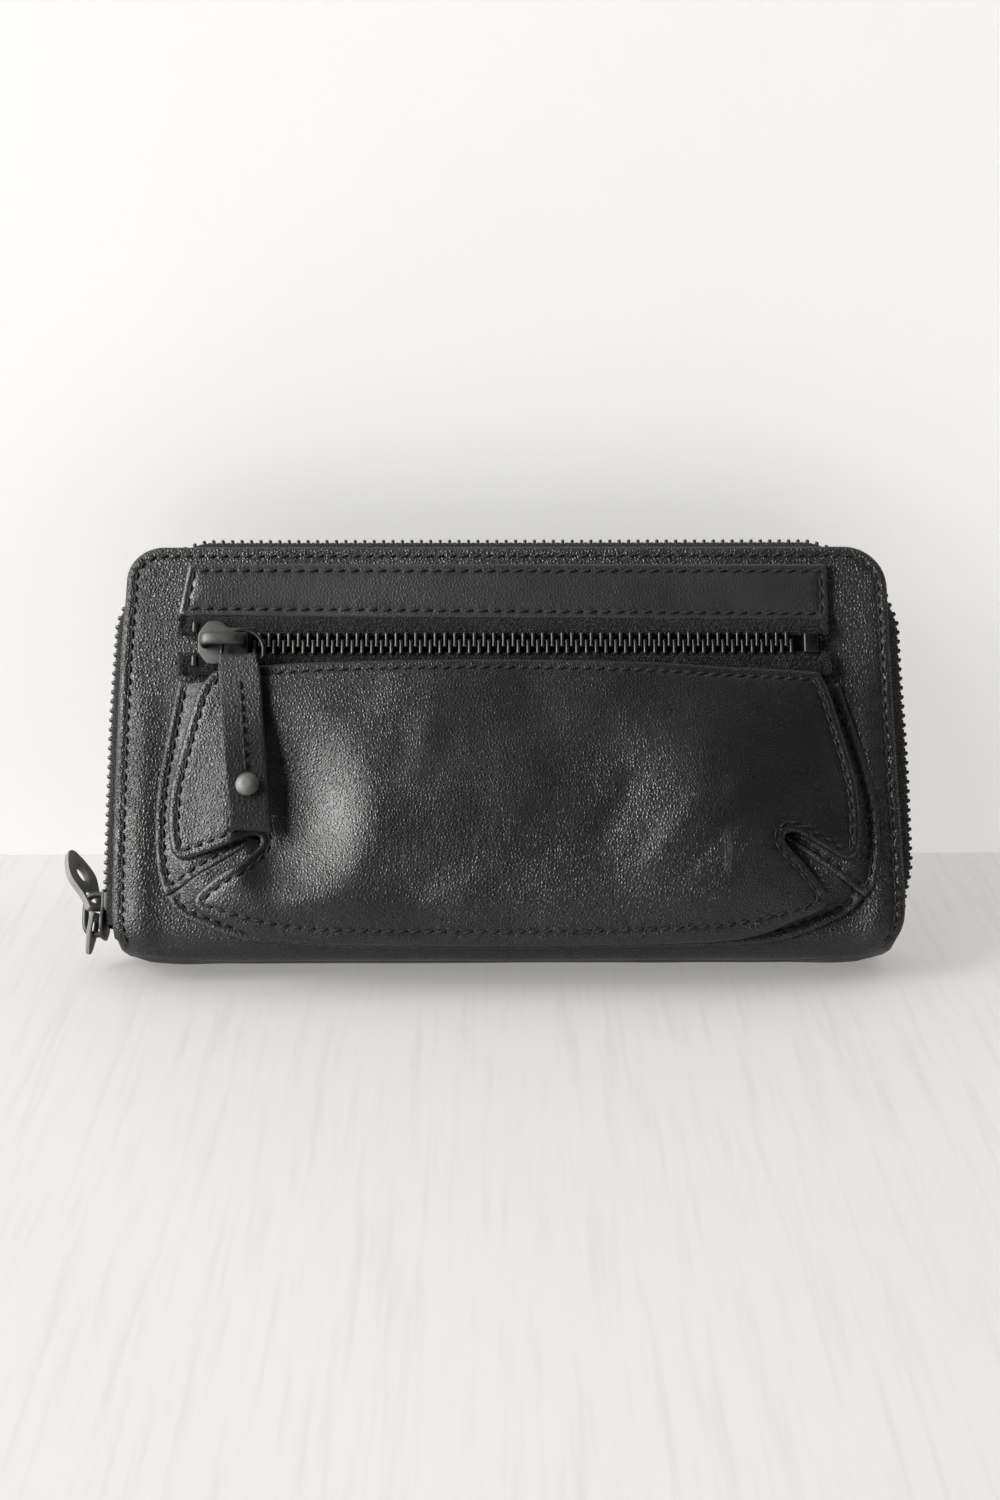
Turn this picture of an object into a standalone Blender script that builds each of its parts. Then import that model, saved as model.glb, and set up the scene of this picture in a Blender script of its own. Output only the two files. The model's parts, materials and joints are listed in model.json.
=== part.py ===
"""Long zip-around wallet with a zipped, gusseted pocket on its front.

Frame: metres, +Z up. The wallet stands on its spine. X runs along the spine, the front
faces -Y, and the origin is the middle of the spine's flat base. Sizes below are in
millimetres and are scaled by MM when a mesh is made.
"""

import math

import bmesh
import bpy
from mathutils import Matrix, Vector

MM = 0.001
GAP = 0.3

# Body of the wallet
WIDTH = 197.0
HEIGHT = 107.0
THICKNESS = 24.0
HALF = THICKNESS / 2
CORNER_RADIUS = 11.0
LEATHER = 1.2
SPINE_RADIUS = 8.0
FOLD_Y = 11.4
FOLD_Z = 8.15  # the two fold lines, at Y -11.4 and 11.4, where the covers hinge on the spine
COVER_FOOT = 8.4

# Main zip, which runs up the left side, over the top and down the right side
TOOTH_PITCH = 2.5
TOOTH_WIDTH = 1.1
ROW_INNER = 0.4  # a row of teeth stands this far from the chain's centre line
ROW_ROOT = 2.1
ROW_OUTER = 2.7
ROW_HALF_THICKNESS = 1.0
CHAIN_STAND_OFF = 3.4  # the chain bulges this far past the covers' edge
CORNER_STAND_OFF = 0.9
CHAIN_FOOT_LEFT = 19.5
CHAIN_FOOT_RIGHT = 12.0
TAPE = 0.4

# Sliders
SLIDER_LENGTH = 12.5
PLATE_GAP = 1.3
PLATE = 0.8
MAIN_SLIDER_Z = 12.25
BRIDGE_LIFT = 6.0
BRIDGE_BAR = 1.3
BRIDGE_HALF_WIDTH = 1.3
BRIDGE_HALF_LENGTH = 4.6
PULL_LEVEL = 4.3  # height of a pull's cross-bar above the chain's plane
LEAF_YAW = math.radians(22.0)  # play of a pull's eye on its bridge
LEAF_LIFT = math.radians(24.0)
LEAF_HINGE_Z = 14.2
TAB_YAW = math.radians(8.0)
TAB_LIFT = math.radians(8.0)
TAB_HINGE_Z = 12.0

# Zipped pocket on the front
POCKET_ZIP_Z = 80.0
POCKET_CHAIN_Y = -HALF - 2.6
POCKET_CHAIN = (-77.0, 75.3)
POCKET_SLIDER_X = -72.8
RING_X = -67.6
RING_Y = POCKET_CHAIN_Y - 4.2
RING_BAR_Z = 75.2
RING_RADIUS = 5.3
RING_WIRE = 0.5
STRAP_TILT = math.radians(7.5)
STRAP_SLANT = math.tan(math.radians(3.8))
STRAP_LENGTH = 44.5
STRAP_HALF_WIDTH = 5.2
RIVET_DOWN = 33.5

# Card panels, stepped so that each row shows above the next
CARD_PANEL = 0.4
CARD_STEP = 0.66

# Coin compartment in the middle
COIN_WALL = (1.7, 2.2)
COIN_TOP = 92.0
COIN_ZIP_Z = 95.0
COIN_HALF_WIDTH = 86.0
COIN_SLIDER_X = -66.0

FINISHES = {  # name: (base colour, roughness, metallic)
    "leather": ((0.022, 0.022, 0.023), 0.42, 0.0),
    "lining": ((0.035, 0.034, 0.036), 0.85, 0.0),
    "board": ((0.28, 0.26, 0.23), 0.9, 0.0),
    "tape": ((0.012, 0.012, 0.013), 0.9, 0.0),
    "metal": ((0.11, 0.11, 0.12), 0.38, 1.0),
    "plastic": ((0.02, 0.02, 0.02), 0.5, 0.0),
}


# ---------------------------------------------------------------- scene and helpers


def clear_scene():
    for obj in list(bpy.data.objects):
        bpy.data.objects.remove(obj)


def collection(name):
    made = bpy.data.collections.new(name)
    bpy.context.scene.collection.children.link(made)
    return made


def finish_of(name):
    found = bpy.data.materials.get(name)
    if found:
        return found
    colour, roughness, metallic = FINISHES[name]
    made = bpy.data.materials.new(name)
    made.use_nodes = True
    shader = made.node_tree.nodes["Principled BSDF"]
    shader.inputs["Base Color"].default_value = (*colour, 1.0)
    shader.inputs["Roughness"].default_value = roughness
    shader.inputs["Metallic"].default_value = metallic
    return made


def add_mesh(name, mesh, finish, group=None):
    obj = bpy.data.objects.new(name, mesh)
    (group or WALLET).objects.link(obj)
    if finish:
        mesh.materials.clear()
        mesh.materials.append(finish_of(finish))
    return obj


def mesh_from_bmesh(name, bm):
    bmesh.ops.recalc_face_normals(bm, faces=bm.faces)
    mesh = bpy.data.meshes.new(name)
    bm.to_mesh(mesh)
    bm.free()
    return mesh


def flat_mesh(name, outlines, depth):
    """Closed outlines in local XY (the later ones are holes), made `depth` thick about z 0."""
    curve = bpy.data.curves.new(name, "CURVE")
    curve.dimensions = "2D"
    curve.fill_mode = "BOTH"
    curve.extrude = depth / 2 * MM
    for outline in outlines:
        spline = curve.splines.new("POLY")
        spline.points.add(len(outline) - 1)
        for point, (x, y) in zip(spline.points, outline):
            point.co = (x * MM, y * MM, 0.0, 1.0)
        spline.use_cyclic_u = True
    holder = bpy.data.objects.new(name, curve)
    bpy.context.scene.collection.objects.link(holder)
    graph = bpy.context.evaluated_depsgraph_get()
    mesh = bpy.data.meshes.new_from_object(holder.evaluated_get(graph))
    bpy.data.objects.remove(holder)
    bpy.data.curves.remove(curve)
    bm = bmesh.new()
    bm.from_mesh(mesh)
    bpy.data.meshes.remove(mesh)
    bmesh.ops.remove_doubles(bm, verts=bm.verts, dist=1e-6)
    return mesh_from_bmesh(name, bm)


FACING_FRONT = Matrix.Rotation(math.pi / 2, 4, "X")  # local XY becomes world XZ
FACING_SIDE = Matrix.Rotation(math.pi / 2, 4, "Z") @ FACING_FRONT  # local XY becomes world YZ


def place(obj, turn, x=0.0, y=0.0, z=0.0):
    obj.matrix_world = Matrix.Translation(Vector((x, y, z)) * MM) @ turn
    return obj


def front_plate(name, outline, outer_y, inner_y, finish, group=None):
    """A plate parallel to the covers, between two values of Y."""
    mesh = flat_mesh(name, [outline], abs(outer_y - inner_y))
    return place(add_mesh(name, mesh, finish, group), FACING_FRONT, y=(outer_y + inner_y) / 2)


def bar_along_x(name, outlines, x_from, x_to, finish):
    """A bar of constant YZ section, between two values of X."""
    mesh = flat_mesh(name, outlines, x_to - x_from)
    return place(add_mesh(name, mesh, finish), FACING_SIDE, x=(x_from + x_to) / 2)


def arc(centre, radius, start, end, steps):
    """Points on an arc, with angles in degrees."""
    turns = [math.radians(start + (end - start) * i / steps) for i in range(steps + 1)]
    return [(centre[0] + radius * math.cos(a), centre[1] + radius * math.sin(a)) for a in turns]


def rounded_box(x0, x1, y0, y1, foot_radius, top_radius, steps=6):
    """Outline of a rectangle whose lower and upper corners have their own radii."""
    points = arc((x0 + foot_radius, y0 + foot_radius), foot_radius, 180, 270, steps)
    points += arc((x1 - foot_radius, y0 + foot_radius), foot_radius, 270, 360, steps)
    points += arc((x1 - top_radius, y1 - top_radius), top_radius, 0, 90, steps)
    return points + arc((x0 + top_radius, y1 - top_radius), top_radius, 90, 180, steps)


def smooth_line(points, steps):
    """An open Catmull-Rom line through the points."""
    ends = [Vector(points[0]) * 2 - Vector(points[1]), Vector(points[-1]) * 2 - Vector(points[-2])]
    knots = [ends[0], *map(Vector, points), ends[1]]
    line = []
    for a, b, c, d in zip(knots, knots[1:], knots[2:], knots[3:]):
        for i in range(steps):
            t = i / steps
            line.append(
                0.5 * (2 * b + (c - a) * t + (2 * a - 5 * b + 4 * c - d) * t**2
                       + (3 * b - a - 3 * c + d) * t**3)
            )
    return [tuple(p) for p in line] + [tuple(points[-1])]


def mirrored(line):
    """The same line on the other side of x 0, run backwards, without the points on x 0."""
    return [(-x, y) for x, y in reversed(line) if abs(x) > 1e-6]


def thick_line(points, thickness):
    """Closed outline of a bent strip whose centre line is given."""
    left, right = [], []
    for i, point in enumerate(points):
        before = Vector(points[max(i - 1, 0)])
        after = Vector(points[min(i + 1, len(points) - 1)])
        along = (after - before).normalized()
        across = Vector((-along.y, along.x)) * thickness / 2
        left.append(tuple(Vector(point) + across))
        right.append(tuple(Vector(point) - across))
    return left + right[::-1]


def loft(name, sections, finish):
    """A closed solid through equal rings of points, capped at both ends."""
    bm = bmesh.new()
    rings = [[bm.verts.new(Vector(p) * MM) for p in section] for section in sections]
    for ring, following in zip(rings, rings[1:]):
        for i in range(len(ring)):
            j = (i + 1) % len(ring)
            bm.faces.new((ring[i], ring[j], following[j], following[i]))
    bm.faces.new(rings[0])
    bm.faces.new(rings[-1])
    return add_mesh(name, mesh_from_bmesh(name, bm), finish)


def apply_boolean(obj, other, operation):
    """Cuts or joins `other` into obj's mesh and removes `other`."""
    modifier = obj.modifiers.new(operation.lower(), "BOOLEAN")
    modifier.operation = operation
    modifier.object = other
    bpy.context.view_layer.update()
    graph = bpy.context.evaluated_depsgraph_get()
    mesh = bpy.data.meshes.new_from_object(obj.evaluated_get(graph))
    obj.modifiers.clear()
    obj.data = mesh
    bpy.data.objects.remove(other)
    return obj


def box_between(name, low, high, finish=None, group=None):
    """A cube primitive stretched between two corners."""
    bm = bmesh.new()
    bmesh.ops.create_cube(bm, size=1.0)
    low, high = Vector(low) * MM, Vector(high) * MM
    for vert in bm.verts:
        vert.co = Vector((low[i] + (high[i] - low[i]) * (vert.co[i] + 0.5) for i in range(3)))
    return add_mesh(name, mesh_from_bmesh(name, bm), finish, group)


# ---------------------------------------------------------------- covers and inside


def cover_outline(inset=0.0, foot=COVER_FOOT, foot_radius=2.0):
    side = WIDTH / 2 - inset
    return rounded_box(-side, side, foot, HEIGHT - inset, foot_radius, CORNER_RADIUS - inset * 0.6)


def build_cover_half(label, sign, cards=4):
    """Cover leather, stiffening board, lining and stepped card panels of one half.

    `sign` is -1 for the front half and +1 for the back half.
    """
    inner = HALF - LEATHER
    front_plate(f"{label}_cover", cover_outline(), sign * HALF, sign * inner, "leather")
    board = (inner - 0.2, inner - 1.0)
    lining = (board[1] - 0.2, board[1] - 0.6)
    for part, (outer, inside), finish in (("stiffener", board, "board"), ("lining", lining, "lining")):
        outline = cover_outline(inset=7.5, foot=10.5)
        front_plate(f"{label}_{part}", outline, sign * outer, sign * inside, finish)
    for i in range(cards):
        outer = lining[1] - GAP - CARD_STEP * i
        outline = rounded_box(-84.0, 84.0, 12.0, 92.0 - 12.5 * i, 1.0, 1.5, 3)
        inside = outer - CARD_PANEL
        front_plate(f"{label}_card_panel_{i + 1}", outline, sign * outer, sign * inside, "leather")


def build_spine():
    """The strip of cover leather that wraps the bottom, between the two fold lines."""
    centre = HALF - SPINE_RADIUS
    inner = SPINE_RADIUS - LEATHER
    outside = arc((-centre, SPINE_RADIUS), SPINE_RADIUS, 180, 270, 7)
    outside += arc((centre, SPINE_RADIUS), SPINE_RADIUS, 270, 360, 7)
    inside = arc((centre, SPINE_RADIUS), inner, 360, 270, 7)
    inside += arc((-centre, SPINE_RADIUS), inner, 270, 180, 7)
    side = WIDTH / 2 - 1.0
    bar_along_x("spine", [outside + inside], -side, side, "leather")


def build_gusset_leaves():
    """Each side gusset is one folded piece of leather; its two leaves ride on different bodies."""
    for half, sign in (("front", -1), ("back", 1)):
        for side, x in (("left", -1), ("right", 1)):
            for leaf, near in (("cover_leaf", 3.4), ("coin_leaf", 2.6)):
                edges = sorted((x * 93.0, x * 77.0))
                outline = rounded_box(edges[0], edges[1], 13.0, 84.0, 1.0, 1.0, 2)
                front_plate(
                    f"gusset_{half}_{side}_{leaf}", outline, sign * near, sign * (near + 0.4), "leather"
                )


def build_coin_compartment():
    for label, sign in (("front", -1), ("back", 1)):
        outline = rounded_box(-COIN_HALF_WIDTH, COIN_HALF_WIDTH, 4.0, COIN_TOP, 1.0, 2.0, 3)
        front_plate(
            f"coin_pocket_{label}_wall", outline, sign * COIN_WALL[0], sign * COIN_WALL[1], "lining"
        )
        coil = [
            (sign * 0.4, COIN_ZIP_Z - 0.9), (sign * 1.9, COIN_ZIP_Z - 0.9),
            (sign * 1.9, COIN_ZIP_Z + 0.9), (sign * 0.4, COIN_ZIP_Z + 0.9),
        ]
        bar_along_x(f"coin_zip_coil_{label}", [coil], -74.0, 74.0, "plastic")
        tape = thick_line(
            [(sign * 2.2, COIN_ZIP_Z), (sign * 4.6, COIN_ZIP_Z), (sign * 4.9, COIN_ZIP_Z - 0.6),
             (sign * 4.9, 92.0), (sign * 2.8, 90.2), (sign * 2.8, 86.0)],
            TAPE,
        )
        bar_along_x(f"coin_zip_tape_{label}", [tape], -74.0, 74.0, "tape")


# ---------------------------------------------------------------- main zip


def zip_path():
    """The covers' edge from the left foot over the top to the right foot.

    Returns a function of the distance along it, giving the point, the outward direction
    and the chain's stand-off, and the path's length.
    """
    side, radius = WIDTH / 2, CORNER_RADIUS
    rise = HEIGHT - radius - CHAIN_FOOT_LEFT
    bend = radius * math.pi / 2
    across = 2 * (side - radius)
    fall = HEIGHT - radius - CHAIN_FOOT_RIGHT
    marks = [0.0, rise, rise + bend, rise + bend + across, rise + 2 * bend + across]
    length = marks[-1] + fall

    def stand_off(s):
        """Full along the straights, low round the corners, with a 12 mm ramp between."""
        away = min(
            max(abs(s - (marks[1] + marks[2]) / 2) - bend / 2, 0.0),
            max(abs(s - (marks[3] + marks[4]) / 2) - bend / 2, 0.0),
        )
        t = min(away / 12.0, 1.0)
        return CORNER_STAND_OFF + (CHAIN_STAND_OFF - CORNER_STAND_OFF) * t * t * (3 - 2 * t)

    def at(s):
        if s <= marks[1]:
            return Vector((-side, CHAIN_FOOT_LEFT + s)), Vector((-1, 0)), stand_off(s)
        if s <= marks[2]:
            turn = math.pi - (s - marks[1]) / radius
            out = Vector((math.cos(turn), math.sin(turn)))
            return Vector((-side + radius, HEIGHT - radius)) + out * radius, out, stand_off(s)
        if s <= marks[3]:
            return Vector((-side + radius + s - marks[2], HEIGHT)), Vector((0, 1)), stand_off(s)
        if s <= marks[4]:
            turn = math.pi / 2 - (s - marks[3]) / radius
            out = Vector((math.cos(turn), math.sin(turn)))
            return Vector((side - radius, HEIGHT - radius)) + out * radius, out, stand_off(s)
        return Vector((side, HEIGHT - radius - (s - marks[4]))), Vector((1, 0)), stand_off(s)

    stations = [0.0, marks[1] - 12, marks[1] - 8, marks[1] - 4]
    stations += [marks[1] + bend * i / 6 for i in range(7)]
    stations += [marks[2] + 4, marks[2] + 8, marks[2] + 12, marks[3] - 12, marks[3] - 8, marks[3] - 4]
    stations += [marks[3] + bend * i / 6 for i in range(7)]
    stations += [marks[4] + 4, marks[4] + 8, marks[4] + 12, length]
    return at, length, stations


def tooth_row(name, length, first, at):
    """One side of a chain: a cord with square teeth on its inner edge, as one solid.

    `at` takes a distance along the row, one across it and one through it, and gives the point.
    """
    bm = bmesh.new()
    thick = ROW_HALF_THICKNESS

    def station(s, across):
        return [bm.verts.new(at(s, across, up) * MM) for up in (-thick, thick)]

    def walls(a, b, c, d):
        bm.faces.new((a[0], b[0], b[1], a[1]))
        bm.faces.new((c[0], d[0], d[1], c[1]))
        for side in (0, 1):
            bm.faces.new((a[side], b[side], d[side], c[side]))

    cord = [(station(0.0, ROW_OUTER), station(0.0, ROW_ROOT))]
    bm.faces.new((*cord[0][0], *cord[0][1][::-1]))
    s = first
    while s + TOOTH_WIDTH < length:
        cord.append((station(s, ROW_OUTER), station(s, ROW_ROOT)))
        cord.append((station(s + TOOTH_WIDTH, ROW_OUTER), station(s + TOOTH_WIDTH, ROW_ROOT)))
        root = cord[-2][1], cord[-1][1]
        crown = station(s, ROW_INNER), station(s + TOOTH_WIDTH, ROW_INNER)
        walls(root[0], crown[0], root[1], crown[1])
        bm.faces.new((*crown[0], *crown[1][::-1]))
        s += TOOTH_PITCH
    cord.append((station(length, ROW_OUTER), station(length, ROW_ROOT)))
    bm.faces.new((*cord[-1][0], *cord[-1][1][::-1]))
    for i, (near, far) in enumerate(zip(cord, cord[1:])):
        under_tooth = i % 2 == 1
        bm.faces.new((*near[0], *far[0][::-1]))
        if not under_tooth:
            bm.faces.new((*near[1], *far[1][::-1]))
        for side in (0, 1):
            bm.faces.new((near[0][side], near[1][side], far[1][side], far[0][side]))
    return add_mesh(name, mesh_from_bmesh(name, bm), "metal")


def build_main_zip():
    at, length, stations = zip_path()
    for label, sign, first in (("front", -1, 0.6), ("back", 1, 0.6 + TOOTH_PITCH / 2)):

        def chain_point(s, across, up):
            point, out, lift = at(s)
            edge = point + out * (lift + up)
            return Vector((edge.x, sign * across, edge.y))

        tooth_row(f"{label}_zip_teeth", length, first, chain_point)
        sections = []
        for s in stations:
            point, out, lift = at(s)
            profile = thick_line([(lift, 2.95), (lift, 5.6), (-0.6, 9.9), (-6.0, 10.2)], TAPE)
            ring = []
            for stand, across in profile:
                edge = point + out * stand
                ring.append((edge.x, sign * across, edge.y))
            sections.append(ring)
        loft(f"{label}_zip_tape", sections, "tape")
    stop_x = WIDTH / 2 + CHAIN_STAND_OFF
    box_between(
        "main_zip_end_stop", (stop_x - 1.5, -3.2, 7.8), (stop_x + 1.5, 3.2, CHAIN_FOOT_RIGHT - GAP), "metal"
    )


# ---------------------------------------------------------------- sliders and pulls


def slider_outline(tail, mouth):
    """Plate of a slider: x towards the mouth, waisted behind its shoulders."""
    end = SLIDER_LENGTH / 2
    upper = [(-end, 0.0), (-end, tail - 0.9), (-end + 0.9, tail), (-0.6, tail)]
    upper += [(1.2, mouth - 0.4), (2.4, mouth), (end - 2.6, mouth), (end - 0.9, mouth - 1.6), (end, 0.0)]
    return upper + [(x, -y) for x, y in reversed(upper[1:-1])]


def build_slider(name, tail, mouth, flange, turn, centre):
    """Two plates with flanges, tied by the centre web, and the bridge that holds the pull.

    Local x points to the mouth, y across the chain and z out of the wallet.
    """
    body = add_mesh(name, flat_mesh(name, [slider_outline(tail, mouth)], PLATE), "metal")
    level = PLATE_GAP + PLATE / 2
    for vert in body.data.vertices:
        vert.co.z += level * MM
    inner = add_mesh(
        "inner_plate", flat_mesh("inner_plate", [slider_outline(tail, tail + 1.0)], PLATE), None, CUTTERS
    )
    for vert in inner.data.vertices:
        vert.co.z -= level * MM
    pieces = [inner]
    end = SLIDER_LENGTH / 2
    for side in (-1, 1):
        for face in (-1, 1):
            across = sorted((side * flange, side * (tail - 0.02)))
            up = sorted((face * 0.55, face * (PLATE_GAP + 0.2)))
            low = (-end + 1.0, across[0], up[0])
            high = (-1.0, across[1], up[1])
            pieces.append(box_between("flange", low, high, None, CUTTERS))
    pieces.append(
        box_between("web", (1.5, -0.2, -PLATE_GAP - 0.3), (end - 1.0, 0.2, PLATE_GAP + 0.3), None, CUTTERS)
    )
    foot = PLATE_GAP + PLATE - 0.3
    top = BRIDGE_LIFT + BRIDGE_BAR
    long = BRIDGE_HALF_LENGTH
    arch = [(-long, foot), (-long, top - 1.8), (-long + 1.8, top), (long - 1.8, top)]
    arch += [(long, top - 1.8), (long, foot), (long - 1.4, foot)]
    arch += [(long - 1.4, BRIDGE_LIFT - 0.7), (long - 2.1, BRIDGE_LIFT)]
    arch += [(-long + 2.1, BRIDGE_LIFT), (-long + 1.4, BRIDGE_LIFT - 0.7), (-long + 1.4, foot)]
    bridge = add_mesh("bridge", flat_mesh("bridge", [arch], 2 * BRIDGE_HALF_WIDTH), None, CUTTERS)
    bridge.matrix_world = FACING_FRONT
    pieces.append(bridge)
    for piece in pieces:
        apply_boolean(body, piece, "UNION")
    body.matrix_world = Matrix.Translation(Vector(centre) * MM) @ turn
    return body


# Each turn carries a slider's local x (mouth), y (across) and z (outwards) to the wallet's frame.
MOUTH_DOWN_OUT_LEFT = Matrix(((0, 0, -1, 0), (0, -1, 0, 0), (-1, 0, 0, 0), (0, 0, 0, 1)))
MOUTH_LEFT_OUT_FRONT = Matrix(((-1, 0, 0, 0), (0, 0, -1, 0), (0, -1, 0, 0), (0, 0, 0, 1)))
MOUTH_LEFT_OUT_UP = Matrix(((-1, 0, 0, 0), (0, -1, 0, 0), (0, 0, 1, 0), (0, 0, 0, 1)))


def pull_outline(length, shoulder, tip):
    """Outline of a flat pull and its eye: y runs from the cross-bar to the tip."""
    side = smooth_line([(3.1, -0.2), (3.15, 4.2), (shoulder, length * 0.5), (tip, length - tip)], 4)
    end = arc((0.0, length - tip), tip, 0, 90, 4)
    half = [(2.6, -0.6)] + side[:-1] + end
    outline = half + mirrored(half)
    eye = rounded_box(-2.5, 2.5, 0.6, 5.2, 0.5, 0.8, 3)
    return [outline, eye]


def build_flat_pull(name, outlines, thickness, turn, hinge):
    obj = add_mesh(name, flat_mesh(name, outlines, thickness), "metal")
    obj.matrix_world = Matrix.Translation(Vector(hinge) * MM) @ turn
    return obj


def build_main_slider():
    chain_x = -WIDTH / 2 - CHAIN_STAND_OFF
    build_slider(
        "main_slider_body", 3.8, 5.6, 3.1, MOUTH_DOWN_OUT_LEFT, (chain_x, 0.0, MAIN_SLIDER_Z)
    )
    level = chain_x - PULL_LEVEL
    # A pull's local y is its length and local x its width, which starts along the wallet's Y.
    upright = Matrix.Rotation(math.pi / 2, 4, "Z") @ Matrix.Rotation(math.pi / 2, 4, "X")
    leaf_turn = Matrix.Rotation(-LEAF_YAW, 4, "Z") @ upright @ Matrix.Rotation(-LEAF_LIFT, 4, "X")
    tab_turn = Matrix.Rotation(-TAB_YAW, 4, "Z") @ upright @ Matrix.Rotation(math.pi + TAB_LIFT, 4, "X")
    oval = [(1.5 * x, 9.4 + 2.6 * y) for x, y in arc((0, 0), 1.0, 0, 330, 11)]
    build_flat_pull(
        "main_pull_leaf", pull_outline(17.5, 4.3, 1.7) + [oval], 1.2, leaf_turn,
        (level, 0.0, LEAF_HINGE_Z),
    )
    build_flat_pull(
        "main_pull_tab", pull_outline(10.0, 2.6, 1.3), 1.2, tab_turn, (level, 0.0, TAB_HINGE_Z)
    )


def build_pocket_slider():
    build_slider(
        "pocket_slider_body", 3.8, 5.6, 3.1, MOUTH_LEFT_OUT_FRONT,
        (POCKET_SLIDER_X, POCKET_CHAIN_Y, POCKET_ZIP_Z),
    )


def build_pull_ring():
    """D-shaped wire loop: its arc runs under the bridge, its straight bar carries the strap."""
    curve = bpy.data.curves.new("pocket_pull_ring", "CURVE")
    curve.dimensions = "3D"
    curve.bevel_depth = RING_WIRE * MM
    curve.bevel_resolution = 2
    bar = RING_BAR_Z - POCKET_ZIP_Z
    line = arc((0.0, bar + 2.1), RING_RADIUS, 0, 180, 14)
    line += [(-RING_RADIUS, bar + 0.5), (0.5 - RING_RADIUS, bar)]
    line += [(RING_RADIUS - 0.5, bar), (RING_RADIUS, bar + 0.5)]
    spline = curve.splines.new("POLY")
    spline.points.add(len(line) - 1)
    for point, (x, z) in zip(spline.points, line):
        point.co = (x * MM, 0.0, z * MM, 1.0)
    spline.use_cyclic_u = True
    obj = bpy.data.objects.new("pocket_pull_ring", curve)
    WALLET.objects.link(obj)
    curve.materials.append(finish_of("metal"))
    obj.location = Vector((RING_X, RING_Y, POCKET_ZIP_Z)) * MM


def build_pull_strap():
    """One leather strip folded round the ring's bar, its two layers sewn and riveted."""
    inside, outside, layers = 0.75, 1.6, 1.05
    loop = arc((0.0, 0.0), outside, 0, 180, 8)
    outline = loop + [(-outside, -1.0), (-layers, -4.5), (-layers, -STRAP_LENGTH)]
    outline += [(layers, -STRAP_LENGTH), (layers, -4.5), (outside, -1.0)]
    hole = arc((0.0, 0.0), inside, 0, 180, 8) + [(-inside, -0.8), (0.0, -2.6), (inside, -0.8)]
    strap = add_mesh(
        "pocket_pull_strap",
        flat_mesh("pocket_pull_strap", [outline, hole], 2 * STRAP_HALF_WIDTH),
        "leather",
    )
    strap.data.transform(FACING_SIDE)
    bpy.context.view_layer.update()
    for side in (-1, 1):
        across = sorted((side * 4.4, side * 6.0))
        corner = box_between("ring_leg", (across[0], -3.0, -1.3), (across[1], 3.0, 3.0), None, CUTTERS)
        apply_boolean(strap, corner, "DIFFERENCE")
    drill = bmesh.new()
    bmesh.ops.create_cone(
        drill, cap_ends=True, segments=16, radius1=1.3 * MM, radius2=1.3 * MM, depth=8 * MM,
        matrix=Matrix.Translation((0, 0, -RIVET_DOWN * MM)) @ Matrix.Rotation(math.pi / 2, 4, "X"),
    )
    cutter = add_mesh("rivet_hole", mesh_from_bmesh("rivet_hole", drill), None, CUTTERS)
    apply_boolean(strap, cutter, "DIFFERENCE")
    rivet = build_rivet(layers)
    for obj in (strap, rivet):
        for vert in obj.data.vertices:
            depth = RIVET_DOWN * MM if obj is rivet else -vert.co.z
            vert.co.x += depth * STRAP_SLANT
        obj.location = Vector((RING_X, RING_Y, RING_BAR_Z)) * MM
        obj.rotation_euler = (-STRAP_TILT, 0.0, 0.0)


def build_rivet(layers):
    """Domed cap, post and back cap, turned about the post: a profile with a Screw modifier."""
    face = layers + GAP
    dome = arc((0.0, 0.0), 1.0, 90, 0, 5)
    profile = [(3.0 * x, face + 1.3 * y) for x, y in dome] + [(1.0, face), (1.0, -face)]
    profile += [(2.6, -face), (2.6, -face - 0.5), (0.0, -face - 0.5)]
    bm = bmesh.new()
    verts = [bm.verts.new((r * MM, 0.0, z * MM)) for r, z in profile]
    for a, b in zip(verts, verts[1:]):
        bm.edges.new((a, b))
    mesh = bpy.data.meshes.new("rivet")
    bm.to_mesh(mesh)
    bm.free()
    holder = bpy.data.objects.new("rivet", mesh)
    CUTTERS.objects.link(holder)
    screw = holder.modifiers.new("turn", "SCREW")
    screw.axis = "Z"
    screw.steps = screw.render_steps = 20
    screw.use_merge_vertices = True
    screw.merge_threshold = 1e-5
    bpy.context.view_layer.update()
    graph = bpy.context.evaluated_depsgraph_get()
    turned = bpy.data.meshes.new_from_object(holder.evaluated_get(graph))
    bpy.data.objects.remove(holder)
    turned.transform(
        Matrix.Translation((0, 0, -RIVET_DOWN * MM)) @ Matrix.Rotation(math.pi / 2, 4, "X")
    )
    bm = bmesh.new()
    bm.from_mesh(turned)
    return add_mesh("pocket_pull_rivet", mesh_from_bmesh("pocket_pull_rivet", bm), "metal")


def build_coin_slider():
    build_slider(
        "coin_slider_body", 2.9, 4.2, 2.35, MOUTH_LEFT_OUT_UP, (COIN_SLIDER_X, 0.0, COIN_ZIP_Z)
    )
    build_flat_pull(
        "coin_pull_tab", pull_outline(16.0, 3.1, 2.2), 1.2,
        Matrix.Rotation(-math.pi / 2, 4, "Z"),
        (COIN_SLIDER_X + 1.6, 0.0, COIN_ZIP_Z + PULL_LEVEL),
    )


# ---------------------------------------------------------------- front pocket

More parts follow.
